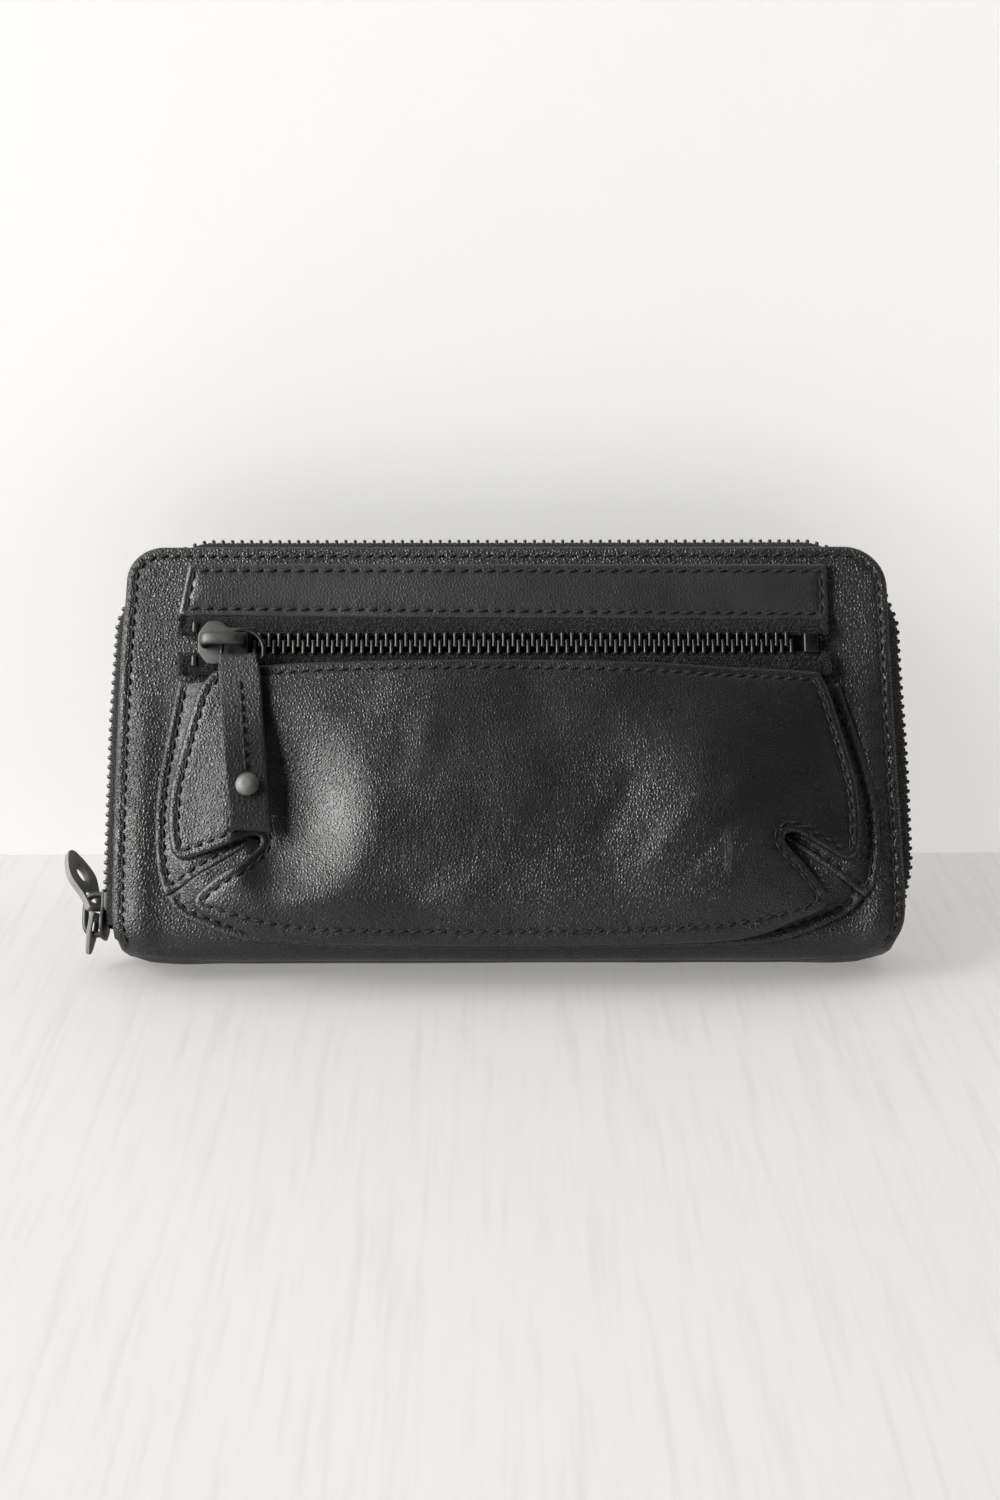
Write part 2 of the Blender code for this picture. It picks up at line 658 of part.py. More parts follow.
# The right half of each outline, from the top to the middle of the bottom edge: (x, z).
OUTER_SIDE = [(84.0, 71.0), (86.2, 57.5), (88.8, 44.0), (90.2, 33.0), (89.6, 22.0), (86.8, 14.2)]
INNER_SIDE = [(76.0, 71.0), (78.0, 57.5), (80.6, 44.0), (80.0, 36.0), (72.0, 31.0), (64.2, 28.0)]
PANEL_SIDE = [(75.0, 73.4), (78.6, 69.0), (82.6, 55.0), (85.6, 42.0), (86.0, 31.0), (84.8, 25.2)]
NOTCH_UPPER = [(82.6, 24.0), (76.0, 26.2), (70.4, 28.7), (66.4, 30.0)]
NOTCH_LOWER = [(65.2, 28.6), (69.6, 23.4), (74.6, 18.2), (78.4, 14.6)]
PANEL_FOOT = [(78.6, 12.2), (75.0, 9.8)]


def pocket_height(x, z):
    """How far the pocket's front panel stands out from the cover's face."""
    across = max(1.0 - abs(x / 88.0) ** 2.6, 0.0)
    u = min(max((z - 3.0) / 73.0, 0.0), 1.0)
    up = (u**0.6) * ((1.0 - u) ** 1.2) / 0.318
    return 4.3 + 4.6 * across * up


def panel_outline():
    half = smooth_line([(0.0, 74.0), (40.0, 73.9), (75.0, 73.4)], 3)[:-1]
    half += smooth_line(PANEL_SIDE, 2)
    half += smooth_line(NOTCH_UPPER, 2)
    half += smooth_line(NOTCH_LOWER, 2)
    half += PANEL_FOOT + [(66.0, 9.2), (48.0, 9.0), (0.0, 9.0)]
    return half + mirrored(half)


def build_pocket_panel():
    """The puffed front leather: a domed shell trimmed to the panel's outline."""
    bm = bmesh.new()
    bmesh.ops.create_grid(bm, x_segments=20, y_segments=9, size=1.0)
    for vert in bm.verts:
        x, z = vert.co.x * 90.0, 41.0 + vert.co.y * 36.0
        vert.co = Vector((x, -HALF - pocket_height(x, z), z)) * MM
    mesh = mesh_from_bmesh("pocket_front_panel", bm)
    shell = add_mesh("pocket_front_panel", mesh, "leather")
    solidify = shell.modifiers.new("leather", "SOLIDIFY")
    solidify.thickness = LEATHER * MM
    solidify.offset = 0.0
    trim = front_plate("trim", panel_outline(), -HALF - 1.0, -HALF - 20.0, None, CUTTERS)
    bpy.context.view_layer.update()
    apply_boolean(shell, trim, "INTERSECT")


def gusset_strip(name, outer, inner, low, high):
    """A sloping leather strip between an outer rail on the cover and an inner rail under the panel."""
    sections = []
    for (ox, oz), (ix, iz) in zip(outer, inner):
        sections.append([
            (ox, -HALF - low, oz), (ix, -HALF - high, iz),
            (ix, -HALF - high - 0.9, iz), (ox, -HALF - low - 0.9, oz),
        ])
    loft(name, sections, "leather")


def build_pocket_gussets():
    outer = smooth_line(OUTER_SIDE, 2)
    inner = smooth_line(INNER_SIDE, 2)
    for label, sign in (("left", -1), ("right", 1)):
        gusset_strip(
            f"pocket_side_gusset_{label}",
            [(sign * x, z) for x, z in outer], [(sign * x, z) for x, z in inner], 0.4, 2.0,
        )
    foot = smooth_line([(86.2, 13.4), (79.0, 9.4), (66.0, 8.9), (48.0, 8.8), (0.0, 8.8)], 2)
    under = smooth_line([(63.8, 27.0), (62.0, 18.0), (54.0, 14.0), (40.0, 13.0), (0.0, 13.0)], 2)
    gusset_strip(
        "pocket_bottom_gusset", foot + mirrored(foot), under + mirrored(under), 0.4, 2.0
    )


def build_pocket():
    lining = rounded_box(-58.0, 58.0, 15.0, 70.0, 2.0, 2.0, 2)
    front_plate("pocket_lining", lining, -HALF - 0.35, -HALF - 0.75, "lining")
    build_pocket_panel()
    build_pocket_gussets()
    strip = rounded_box(-83.0, 82.5, 86.8, 102.0, 1.0, 1.5, 2)
    front_plate("pocket_top_strip", strip, -HALF - 1.2, -HALF - 2.3, "leather")
    build_pocket_zip()


def build_pocket_zip():
    start, end = POCKET_CHAIN
    for label, sign, first in (("upper", 1, 0.6), ("lower", -1, 0.6 + TOOTH_PITCH / 2)):

        def chain_point(s, across, up):
            return Vector((start + s, POCKET_CHAIN_Y - up, POCKET_ZIP_Z + sign * across))

        tooth_row(f"pocket_zip_teeth_{label}", end - start, first, chain_point)
    near = POCKET_ZIP_Z + 2.95
    upper = [(POCKET_CHAIN_Y, near), (POCKET_CHAIN_Y, 84.6), (-HALF - 0.6, 86.6), (-HALF - 0.6, 91.0)]
    bar_along_x("pocket_zip_tape_upper", [thick_line(upper, TAPE)], -84.0, 82.0, "tape")
    near = POCKET_ZIP_Z - 2.95
    lower = [(POCKET_CHAIN_Y, near), (POCKET_CHAIN_Y + 0.2, 70.0)]
    bar_along_x("pocket_zip_tape_lower", [thick_line(lower, TAPE)], -74.0, 74.0, "tape")
    stop = POCKET_CHAIN_Y - 0.9, POCKET_CHAIN_Y - 0.5
    box_between("pocket_zip_top_stop_upper", (-81.0, stop[0], 82.9), (-79.6, stop[1], 86.0), "metal")
    box_between("pocket_zip_top_stop_lower", (-81.0, stop[0], 74.0), (-79.6, stop[1], 77.1), "metal")
    low = (75.7, POCKET_CHAIN_Y - 1.3, 77.3)
    high = (79.3, POCKET_CHAIN_Y + 1.2, 82.7)
    box_between("pocket_zip_bottom_stop", low, high, "metal")


# ---------------------------------------------------------------- assembly


def smooth_round_faces():
    for obj in WALLET.objects:
        if obj.type == "MESH":
            obj.data.shade_smooth()
            obj.data.set_sharp_from_angle(angle=math.radians(35))


def hang(name, place_at, *prefixes):
    """Parents the pieces whose names start so to an empty on the axis they turn about."""
    empty = bpy.data.objects.new(name, None)
    WALLET.objects.link(empty)
    empty.location = Vector(place_at) * MM
    bpy.context.view_layer.update()
    for obj in WALLET.objects:
        if obj.type != "EMPTY" and obj.parent is None and obj.name.startswith(prefixes):
            obj.parent = empty
            obj.matrix_parent_inverse = empty.matrix_world.inverted()


clear_scene()
WALLET = collection("zip_around_wallet")
CUTTERS = collection("cutters")
CUTTERS.hide_render = True

build_cover_half("front", -1)
build_cover_half("back", 1)
build_spine()
build_coin_compartment()
build_gusset_leaves()
build_main_zip()
build_main_slider()
build_pocket()
build_pocket_slider()
build_pull_ring()
build_pull_strap()
build_coin_slider()
smooth_round_faces()
hang("front_half", (0.0, -FOLD_Y, FOLD_Z), "front_", "gusset_front_left_cover", "gusset_front_right_cover")
hang("pocket", (0.0, -FOLD_Y, FOLD_Z), "pocket_")
hang("back_half", (0.0, FOLD_Y, FOLD_Z), "back_", "gusset_back_left_cover", "gusset_back_right_cover")
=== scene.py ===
import json
import math

import bmesh
import bpy
import numpy as np
from mathutils import Matrix, Vector, noise
from mathutils.geometry import delaunay_2d_cdt


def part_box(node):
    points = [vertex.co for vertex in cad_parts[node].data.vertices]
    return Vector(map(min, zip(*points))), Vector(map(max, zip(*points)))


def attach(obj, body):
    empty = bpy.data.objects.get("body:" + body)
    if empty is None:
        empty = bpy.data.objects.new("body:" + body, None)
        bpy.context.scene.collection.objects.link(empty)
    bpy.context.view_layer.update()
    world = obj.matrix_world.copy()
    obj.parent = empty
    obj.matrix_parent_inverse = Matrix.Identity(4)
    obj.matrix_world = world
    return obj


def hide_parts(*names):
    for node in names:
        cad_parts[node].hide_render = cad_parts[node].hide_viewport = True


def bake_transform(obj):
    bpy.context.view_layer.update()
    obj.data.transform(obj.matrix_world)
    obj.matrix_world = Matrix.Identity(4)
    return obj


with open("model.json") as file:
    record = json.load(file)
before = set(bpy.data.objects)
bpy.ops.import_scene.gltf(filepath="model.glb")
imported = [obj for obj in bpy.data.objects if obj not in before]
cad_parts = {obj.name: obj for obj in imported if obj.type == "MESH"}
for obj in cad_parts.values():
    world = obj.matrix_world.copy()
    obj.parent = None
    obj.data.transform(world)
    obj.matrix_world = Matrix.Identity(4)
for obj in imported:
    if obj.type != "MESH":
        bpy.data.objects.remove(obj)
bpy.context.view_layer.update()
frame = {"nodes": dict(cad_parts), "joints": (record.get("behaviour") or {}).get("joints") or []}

# Sizes are in millimetres, in the CAD frame: the wallet stands on its spine, X runs along the
# spine, the front faces -Y. MM scales them when a mesh is made.
MM = 0.001


def span(node):
    low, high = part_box(node)
    return low / MM, high / MM


COVER_LOW, COVER_HIGH = span("front_cover")
SIDE = COVER_HIGH.x
TOP = COVER_HIGH.z
FACE = -COVER_LOW.y
LEATHER = COVER_HIGH.y - COVER_LOW.y
CORNER = 11.0
TIGHT_CORNER = 9.0  # the upper left one
SPINE_RADIUS = span("spine")[1].z
FLAT = FACE - SPINE_RADIUS
FOLD = 13.0, 4.5  # heights of the fold beside the spine, kept in FRONT_FOLD and BACK_FOLD; nothing in this script bends the leather between them

SCENE = bpy.context.scene


# ------------------------------------------------------------------ lines in a plane


def arc(centre, radius, start, end, steps=10):
    turn = np.radians(np.linspace(start, end, steps + 1))
    return np.column_stack((centre[0] + radius * np.cos(turn), centre[1] + radius * np.sin(turn)))


def smooth(points, steps=8):
    """Catmull-Rom line through the points."""
    p = np.asarray(points, float)
    p = np.vstack((2 * p[0] - p[1], p, 2 * p[-1] - p[-2]))
    t = np.linspace(0, 1, steps, endpoint=False)[:, None]
    parts = []
    for a, b, c, d in zip(p, p[1:], p[2:], p[3:]):
        parts.append(
            0.5 * (2 * b + (c - a) * t + (2 * a - 5 * b + 4 * c - d) * t**2
                   + (3 * b - a - 3 * c + d) * t**3)
        )
    return np.vstack((*parts, p[-2:-1]))


def unit(vectors):
    return vectors / np.linalg.norm(vectors, axis=1)[:, None]


def heading(line):
    """Unit direction at each point of the line."""
    return unit(np.gradient(line, axis=0))


def normals(line):
    """Unit normals on the right of a plane line."""
    ahead = heading(line)
    return np.column_stack((ahead[:, 1], -ahead[:, 0]))


def lengths(line):
    return np.concatenate(([0.0], np.cumsum(np.linalg.norm(np.diff(line, axis=0), axis=1))))


def resample(line, step, closed=False):
    line = np.asarray(line, float)
    if closed:
        line = np.vstack((line, line[:1]))
    s = lengths(line)
    count = max(int(round(s[-1] / step)), 2)
    at = np.linspace(0, s[-1], count + 1)
    out = np.column_stack([np.interp(at, s, line[:, i]) for i in range(line.shape[1])])
    return out[:-1] if closed else out


def near(points, line, closed=False):
    """Each point's distance to the line, and how far along the line its nearest point lies."""
    line = np.asarray(line, float)
    if closed:
        line = np.vstack((line, line[:1]))
    a, d = line[:-1], np.diff(line, axis=0)
    size = np.maximum((d**2).sum(1), 1e-12)
    start = lengths(line)[:-1]
    best, along = [], []
    for chunk in np.array_split(points, max(len(points) // 2000, 1)):
        t = np.clip(((chunk[:, None] - a) * d).sum(2) / size, 0, 1)
        gap = np.linalg.norm(chunk[:, None] - a - t[..., None] * d, axis=2)
        i = gap.argmin(1)
        rows = np.arange(len(chunk))
        best.append(gap[rows, i])
        along.append(start[i] + t[rows, i] * np.sqrt(size[i]))
    return np.concatenate(best), np.concatenate(along)


def ramp(value, low, high):
    t = np.clip((value - low) / (high - low), 0, 1)
    return t * t * (3 - 2 * t)


def inside(points, outline):
    x, y = points[:, 0], points[:, 1]
    hit = np.zeros(len(points), bool)
    for (x0, y0), (x1, y1) in zip(outline, np.roll(outline, -1, axis=0)):
        crosses = (y0 > y) != (y1 > y)
        with np.errstate(divide="ignore", invalid="ignore"):
            hit ^= crosses & (x < (x1 - x0) * (y - y0) / (y1 - y0) + x0)
    return hit


def inset(outline, depth, step=0.9):
    """The closed outline moved inwards, trimmed where it would cross itself."""
    rim = resample(outline, 0.5, closed=True)
    tangent = unit(np.roll(rim, -1, axis=0) - np.roll(rim, 1, axis=0))
    area = (rim[:, 0] * np.roll(rim[:, 1], -1) - np.roll(rim[:, 0], -1) * rim[:, 1]).sum()
    inward = np.column_stack((-tangent[:, 1], tangent[:, 0])) * np.sign(area)
    moved = rim + inward * depth
    gap, _ = near(moved, rim, closed=True)
    keep = (gap > depth * 0.985) & inside(moved, rim)
    return resample(moved[keep], step, closed=True)


# ------------------------------------------------------------------ surfaces and meshes


def wavy(points, size, seed, octaves=2):
    """Smooth noise of about -1 to 1 at each point, over lengths of `size` millimetres."""
    out = np.empty(len(points))
    for i, p in enumerate(points):
        v = Vector((p[0] / size, p[1] / size, seed))
        out[i] = noise.fractal(v, 1.0, 2.0, octaves)
    return out


def add(name, verts, faces, material, attributes=None):
    mesh = bpy.data.meshes.new(name)
    mesh.from_pydata((np.asarray(verts) * MM).tolist(), [], [list(map(int, f)) for f in faces])
    mesh.update()
    mesh.shade_smooth()
    for key, values in (attributes or {}).items():
        mesh.attributes.new(key, "FLOAT", "POINT").data.foreach_set("value", np.asarray(values, np.float32))
    obj = bpy.data.objects.new(name, mesh)
    SCENE.collection.objects.link(obj)
    mesh.materials.append(material)
    return obj


def shell(rings, sides, first=0, closed=False, capped=True):
    """Faces through equal rings of points, the points numbered ring by ring from `first`."""
    total = rings * sides
    faces = []
    for k in range(rings if closed else rings - 1):
        for j in range(sides):
            a, b = k * sides + j, k * sides + (j + 1) % sides
            faces.append((a, b, (b + sides) % total, (a + sides) % total))
    if capped and not closed:
        faces.append(tuple(range(sides))[::-1])
        faces.append(tuple(range(total - sides, total)))
    return [tuple(first + i for i in face) for face in faces]


def circles(path, side, up, thick, sides):
    """A circle of points round each point of a path, ring by ring."""
    turn = 2 * math.pi * np.arange(sides) / sides
    spokes = side[:, None] * np.cos(turn)[:, None] + up[:, None] * np.sin(turn)[:, None]
    return (path[:, None] + spokes * np.asarray(thick)[:, None, None]).reshape(-1, 3)


def turns(*steps):
    """Rotations of (degrees, axis), multiplied in order."""
    out = Matrix.Identity(4)
    for degrees, axis in steps:
        out = out @ Matrix.Rotation(math.radians(degrees), 4, axis)
    return out


def outward(obj):
    """Makes a closed mesh's faces point out."""
    bm = bmesh.new()
    bm.from_mesh(obj.data)
    bmesh.ops.recalc_face_normals(bm, faces=bm.faces)
    bm.to_mesh(obj.data)
    bm.free()
    return obj


def fix(obj, body, slot, *nodes):
    """The piece rides on the body named by a string, or has its place baked into its mesh, and stands for
    CAD nodes, which are hidden. `slot` is not used.
    """
    if isinstance(body, str):
        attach(obj, body)
    else:
        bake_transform(obj)
    if nodes:
        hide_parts(*nodes)
    return obj


FRONT_FOLD = (
    "front_half", "core",
    Vector((0, -FACE, FOLD[0])) * MM, Vector((0, -FACE, FOLD[1])) * MM,
)
BACK_FOLD = (
    "back_half", "core",
    Vector((0, FACE, FOLD[0])) * MM, Vector((0, FACE, FOLD[1])) * MM,
)


def wrapped(sign, depth=0.0):
    """Places (x, height on the face) on the front or back cover and round under the spine.

    The height is measured up the flat face, and goes on round the bend below SPINE_RADIUS.
    `depth` sinks the surface below the CAD model's skin.
    """

    def place(uv):
        x, v = uv[:, 0], uv[:, 1]
        bend = np.clip((SPINE_RADIUS - v) / SPINE_RADIUS, 0, math.pi / 2)
        flat = np.clip(SPINE_RADIUS - SPINE_RADIUS * math.pi / 2 - v, 0, None)
        out = np.column_stack((np.zeros_like(x), np.cos(bend), -np.sin(bend)))
        y = FLAT + SPINE_RADIUS * np.cos(bend) - flat
        z = np.where(v > SPINE_RADIUS, v, SPINE_RADIUS - SPINE_RADIUS * np.sin(bend))
        points = np.column_stack((x, y, z)) - out * depth
        low = ramp(16.0 - v, 0.0, 14.0)
        points[:, 2] += 2.2 * low * np.clip((np.abs(x) - 66.0) / 32.5, 0, 1.05) ** 2
        return points * (1, sign, 1), out * (1, sign, 1)

    return place


class Flat:
    """Places (x, z) on a plane at a depth `y`, which faces -Y or +Y by the sign of `out`."""

    def __init__(self, y, out):
        self.y = y
        self.out = out

    def at(self, uv):
        zero = np.zeros(len(uv))
        points = np.column_stack((uv[:, 0], zero + self.y, uv[:, 1]))
        return points, np.column_stack((zero, zero + self.out, zero))


class Skin:
    """A leather surface: where it lies, how thick it is, its relief and its seams."""

    def __init__(self, outline, place, thickness, relief=None, edge=0.7, seams=(), hang=None):
        self.outline = resample(outline, 0.9, closed=True)
        self.place = place
        self.thickness = thickness
        self.relief = relief
        self.edge = edge
        self.seams = seams
        self.hang = hang

    def height(self, uv, grooved=True):
        h = np.full(len(uv), float(self.thickness))
        if self.relief:
            h += self.relief(uv)
        d, _ = near(uv, self.outline, closed=True)
        t = np.clip(1 - d / self.edge, 0, 1)
        h -= self.edge * (1 - np.sqrt(1 - t**2))
        if grooved:
            for line, closed, pitch, depth in self.seams:
                gap, s = near(uv, line, closed)
                pinch = 0.75 + 0.25 * np.cos(2 * math.pi * s / pitch)
                h -= depth * pinch * np.exp(-((gap / 0.55) ** 2))
                h += 0.15 * depth * np.exp(-(((gap - 1.3) / 0.7) ** 2))
        return h

    def at(self, uv):
        """Where the surface lies before its seams are sunk, and which way it faces."""
        base, out = self.place(uv)
        return base + out * self.height(uv, grooved=False)[:, None], out

    def mesh(self, name, material, step, rings):
        rim = self.outline
        edge = self.edge
        depths = [edge * k for k in (0.08, 0.25, 0.55, 1.0)] + list(rings)
        lines = [rim] + [inset(rim, d) for d in depths]
        for line, closed, pitch, _ in self.seams:
            lines.append(resample(line, pitch / 4, closed))
        fixed = np.vstack(lines)
        low, high = rim.min(0), rim.max(0)
        cols = np.arange(low[0], high[0] + step, step)
        rows = np.arange(low[1], high[1] + step, step * 0.866)
        grid = np.array([(x + step / 2 * (j % 2), y) for j, y in enumerate(rows) for x in cols])
        grid = grid[inside(grid, rim)]
        gap, _ = near(grid, rim, closed=True)
        grid = grid[gap > max(depths) + 0.5 * step]
        for line, closed, pitch, _ in self.seams:
            gap, _ = near(grid, line, closed)
            grid = grid[gap > 0.45 * step]
        every = np.vstack((fixed, grid))
        n = len(rim)
        edges = [(i, (i + 1) % n) for i in range(n)]
        out = delaunay_2d_cdt([Vector(p) for p in every], edges, [], 1, 1e-4)
        uv = np.array([tuple(p) for p in out[0]])
        faces = np.array([f for f in out[2] if len(f) == 3])
        middle = uv[faces].mean(1)
        faces = faces[inside(middle, rim)]
        base, normal = self.place(uv)
        high = base + normal * self.height(uv)[:, None]
        low = base if self.hang is None else base - normal * self.hang(uv)[:, None]
        count = len(uv)
        pairs = np.concatenate([faces[:, [0, 1]], faces[:, [1, 2]], faces[:, [2, 0]]])
        key = np.sort(pairs, axis=1)
        _, index, times = np.unique(key, axis=0, return_index=True, return_counts=True)
        border = pairs[index[times == 1]]
        walls = [(b, a, a + count, b + count) for a, b in border]
        back = faces[:, ::-1] + count
        obj = add(
            name, np.vstack((high, low)), [*faces.tolist(), *back.tolist(), *walls], material,
            {"along": np.tile(uv[:, 0], 2), "across": np.tile(uv[:, 1], 2)},
        )
        return outward(obj)


STITCH_SHARE = 0.74  # of the pitch that a stitch spans
STITCH_SLANT = math.radians(7.0)


def thread(name, paths, radius=0.34):
    """Stitches along seams: each is a short thread that arches out of one hole and into the next.

    `paths` lists (skin, line, closed, pitch).
    """
    verts, faces, along = [], [], []
    rings, sides = 6, 6
    t = np.linspace(0, 1, rings)
    spin = np.array(Matrix.Rotation(STITCH_SLANT, 2))
    for skin, line, closed, pitch in paths:
        line = np.asarray(line, float)
        loop = np.vstack((line, line[:1])) if closed else line
        s = lengths(loop)
        count = int(s[-1] // pitch)
        pitch = s[-1] / count
        for i in range(count):
            where = (i + 0.5 + (t - 0.5) * STITCH_SHARE) * pitch
            uv = np.column_stack([np.interp(where, s, loop[:, k]) for k in (0, 1)])
            middle = uv.mean(0)
            uv = middle + (uv - middle) @ spin.T
            points, out = skin.at(uv)
            rise = -0.42 + 0.5 * np.sin(math.pi * t) ** 0.7
            points = points + out * rise[:, None]
            ahead = heading(points)
            side = unit(np.cross(ahead, out))
            thick = radius * (0.6 + 0.4 * np.sin(math.pi * t) ** 0.5)
            faces += shell(rings, sides, len(along))
            verts.append(circles(points, side, np.cross(side, ahead), thick, sides))
            along += np.repeat(where, sides).tolist()
    return add(name, np.vstack(verts), faces, THREAD, {"along": along, "across": np.zeros(len(along))})


def tube(name, path, radius, material, closed=False, sides=12):
    """A round wire along a line in space."""
    path = np.asarray(path, float)
    n = len(path)
    before = np.roll(path, 1, axis=0) if closed else np.vstack((path[:1], path[:-1]))
    after = np.roll(path, -1, axis=0) if closed else np.vstack((path[1:], path[-1:]))
    ahead = unit(after - before)
    side = unit(np.cross(ahead, np.array((0.0, -1.0, 0.3))))
    verts = circles(path, side, np.cross(side, ahead), np.full(n, float(radius)), sides)
    return outward(add(name, verts, shell(n, sides, closed=closed), material))


def loft(name, sections, material, attributes=None):
    """A capped skin through equal closed rings of points."""
    sections = np.asarray(sections, float)
    faces = shell(*sections.shape[:2])
    return outward(add(name, sections.reshape(-1, 3), faces, material, attributes))


def join(name, pieces):
    """Several meshes as one object."""
    bm = bmesh.new()
    for piece in pieces:
        graph = bpy.context.evaluated_depsgraph_get()
        mesh = bpy.data.meshes.new_from_object(piece.evaluated_get(graph))
        mesh.transform(piece.matrix_world)
        bm.from_mesh(mesh)
    material = pieces[0].data.materials[0]
    for piece in pieces:
        bpy.data.objects.remove(piece)
    mesh = bpy.data.meshes.new(name)
    bm.to_mesh(mesh)
    bm.free()
    mesh.materials.clear()
    mesh.materials.append(material)
    mesh.shade_smooth()
    mesh.set_sharp_from_angle(angle=math.radians(50))
    obj = bpy.data.objects.new(name, mesh)
    SCENE.collection.objects.link(obj)
    return obj


def plate(name, outlines, thickness, material, bevel=0.25, segments=3):
    """A flat piece with rounded edges: outlines in local XY, the later ones are holes."""
    curve = bpy.data.curves.new(name, "CURVE")
    curve.dimensions = "2D"
    curve.fill_mode = "BOTH"
    curve.extrude = thickness / 2 * MM
    for outline in outlines:
        spline = curve.splines.new("POLY")
        spline.points.add(len(outline) - 1)
        for point, (x, y) in zip(spline.points, outline):
            point.co = (x * MM, y * MM, 0, 1)
        spline.use_cyclic_u = True
    holder = bpy.data.objects.new(name, curve)
    SCENE.collection.objects.link(holder)
    graph = bpy.context.evaluated_depsgraph_get()
    mesh = bpy.data.meshes.new_from_object(holder.evaluated_get(graph))
    bpy.data.objects.remove(holder)
    bm = bmesh.new()
    bm.from_mesh(mesh)
    bmesh.ops.remove_doubles(bm, verts=bm.verts, dist=1e-6)
    bmesh.ops.dissolve_limit(bm, angle_limit=0.01, verts=bm.verts, edges=bm.edges)
    bmesh.ops.recalc_face_normals(bm, faces=bm.faces)
    bm.to_mesh(mesh)
    bm.free()
    mesh.materials.clear()
    mesh.materials.append(material)
    obj = bpy.data.objects.new(name, mesh)
    SCENE.collection.objects.link(obj)
    rounding = obj.modifiers.new("edges", "BEVEL")
    rounding.width = bevel * MM
    rounding.segments = segments
    rounding.limit_method = "ANGLE"
    rounding.angle_limit = math.radians(40)
    mesh.shade_smooth()
    return obj


# ------------------------------------------------------------------ materials


class Nodes:
    """Short ways to wire the node tree of a material or world."""

    def __init__(self, owner, shader="Principled BSDF"):
        owner.use_nodes = True
        self.owner = owner
        self.tree = owner.node_tree
        self.shader = self.tree.nodes[shader]

    @classmethod
    def material(cls, name):
        return cls(bpy.data.materials.new(name))

    def add(self, kind, **settings):
        node = self.tree.nodes.new("ShaderNode" + kind)
        for key, value in settings.items():
            setattr(node, key, value)
        return node

    def link(self, source, target):
        self.tree.links.new(source, target)

    def put(self, target, value):
        if isinstance(value, bpy.types.NodeSocket):
            self.link(value, target)
        else:
            target.default_value = value

    def math(self, operation, a, b=None, c=None, clamp=False):
        node = self.add("Math", operation=operation, use_clamp=clamp)
        for socket, value in zip(node.inputs, (a, b, c)):
            if value is not None:
                self.put(socket, value)
        return node.outputs[0]

    def spread(self, value, low, high, to_low=0.0, to_high=1.0):
        node = self.add("MapRange", interpolation_type="SMOOTHSTEP")
        for socket, number in zip(node.inputs, (value, low, high, to_low, to_high)):
            self.put(socket, number)
        return node.outputs[0]

    def place(self, scale=(1, 1, 1), turn=(0, 0, 0)):
        where = self.add("TexCoord")
        mapping = self.add("Mapping")
        mapping.inputs["Scale"].default_value = scale
        mapping.inputs["Rotation"].default_value = turn
        self.link(where.outputs["Object"], mapping.inputs["Vector"])
        return mapping.outputs[0]

    def noise(self, vector, scale, detail=3.0, roughness=0.55):
        node = self.add("TexNoise")
        self.link(vector, node.inputs["Vector"])
        node.inputs["Scale"].default_value = scale
        node.inputs["Detail"].default_value = detail
        node.inputs["Roughness"].default_value = roughness
        return node.outputs["Fac"]

    def cells(self, vector, scale, feature="F1", randomness=1.0):
        node = self.add("TexVoronoi", feature=feature)
        self.link(vector, node.inputs["Vector"])
        node.inputs["Scale"].default_value = scale
        node.inputs["Randomness"].default_value = randomness
        return node.outputs["Distance"]

    def mix(self, factor, a, b):
        node = self.add("Mix", data_type="RGBA")
        self.put(node.inputs["Factor"], factor)
        for socket, value in zip(node.inputs[6:8], (a, b)):
            self.put(socket, value if isinstance(value, bpy.types.NodeSocket) else (*value, 1.0))
        return node.outputs[2]

    def bump(self, height, strength, distance, under=None):
        node = self.add("Bump")
        node.inputs["Strength"].default_value = strength
        node.inputs["Distance"].default_value = distance * MM
        self.link(height, node.inputs["Height"])
        if under is not None:
            self.link(under, node.inputs["Normal"])
        return node.outputs[0]

    def attribute(self, name):
        return self.add("Attribute", attribute_name=name).outputs["Fac"]

    def finish(self, colour, roughness, metallic=0.0, normal=None, **more):
        self.put(self.shader.inputs["Base Color"], colour)
        self.put(self.shader.inputs["Roughness"], roughness)
        self.shader.inputs["Metallic"].default_value = metallic
        if normal is not None:
            self.link(normal, self.shader.inputs["Normal"])
        for name, value in more.items():
            self.put(self.shader.inputs[name.replace("_", " ")], value)
        return self.owner


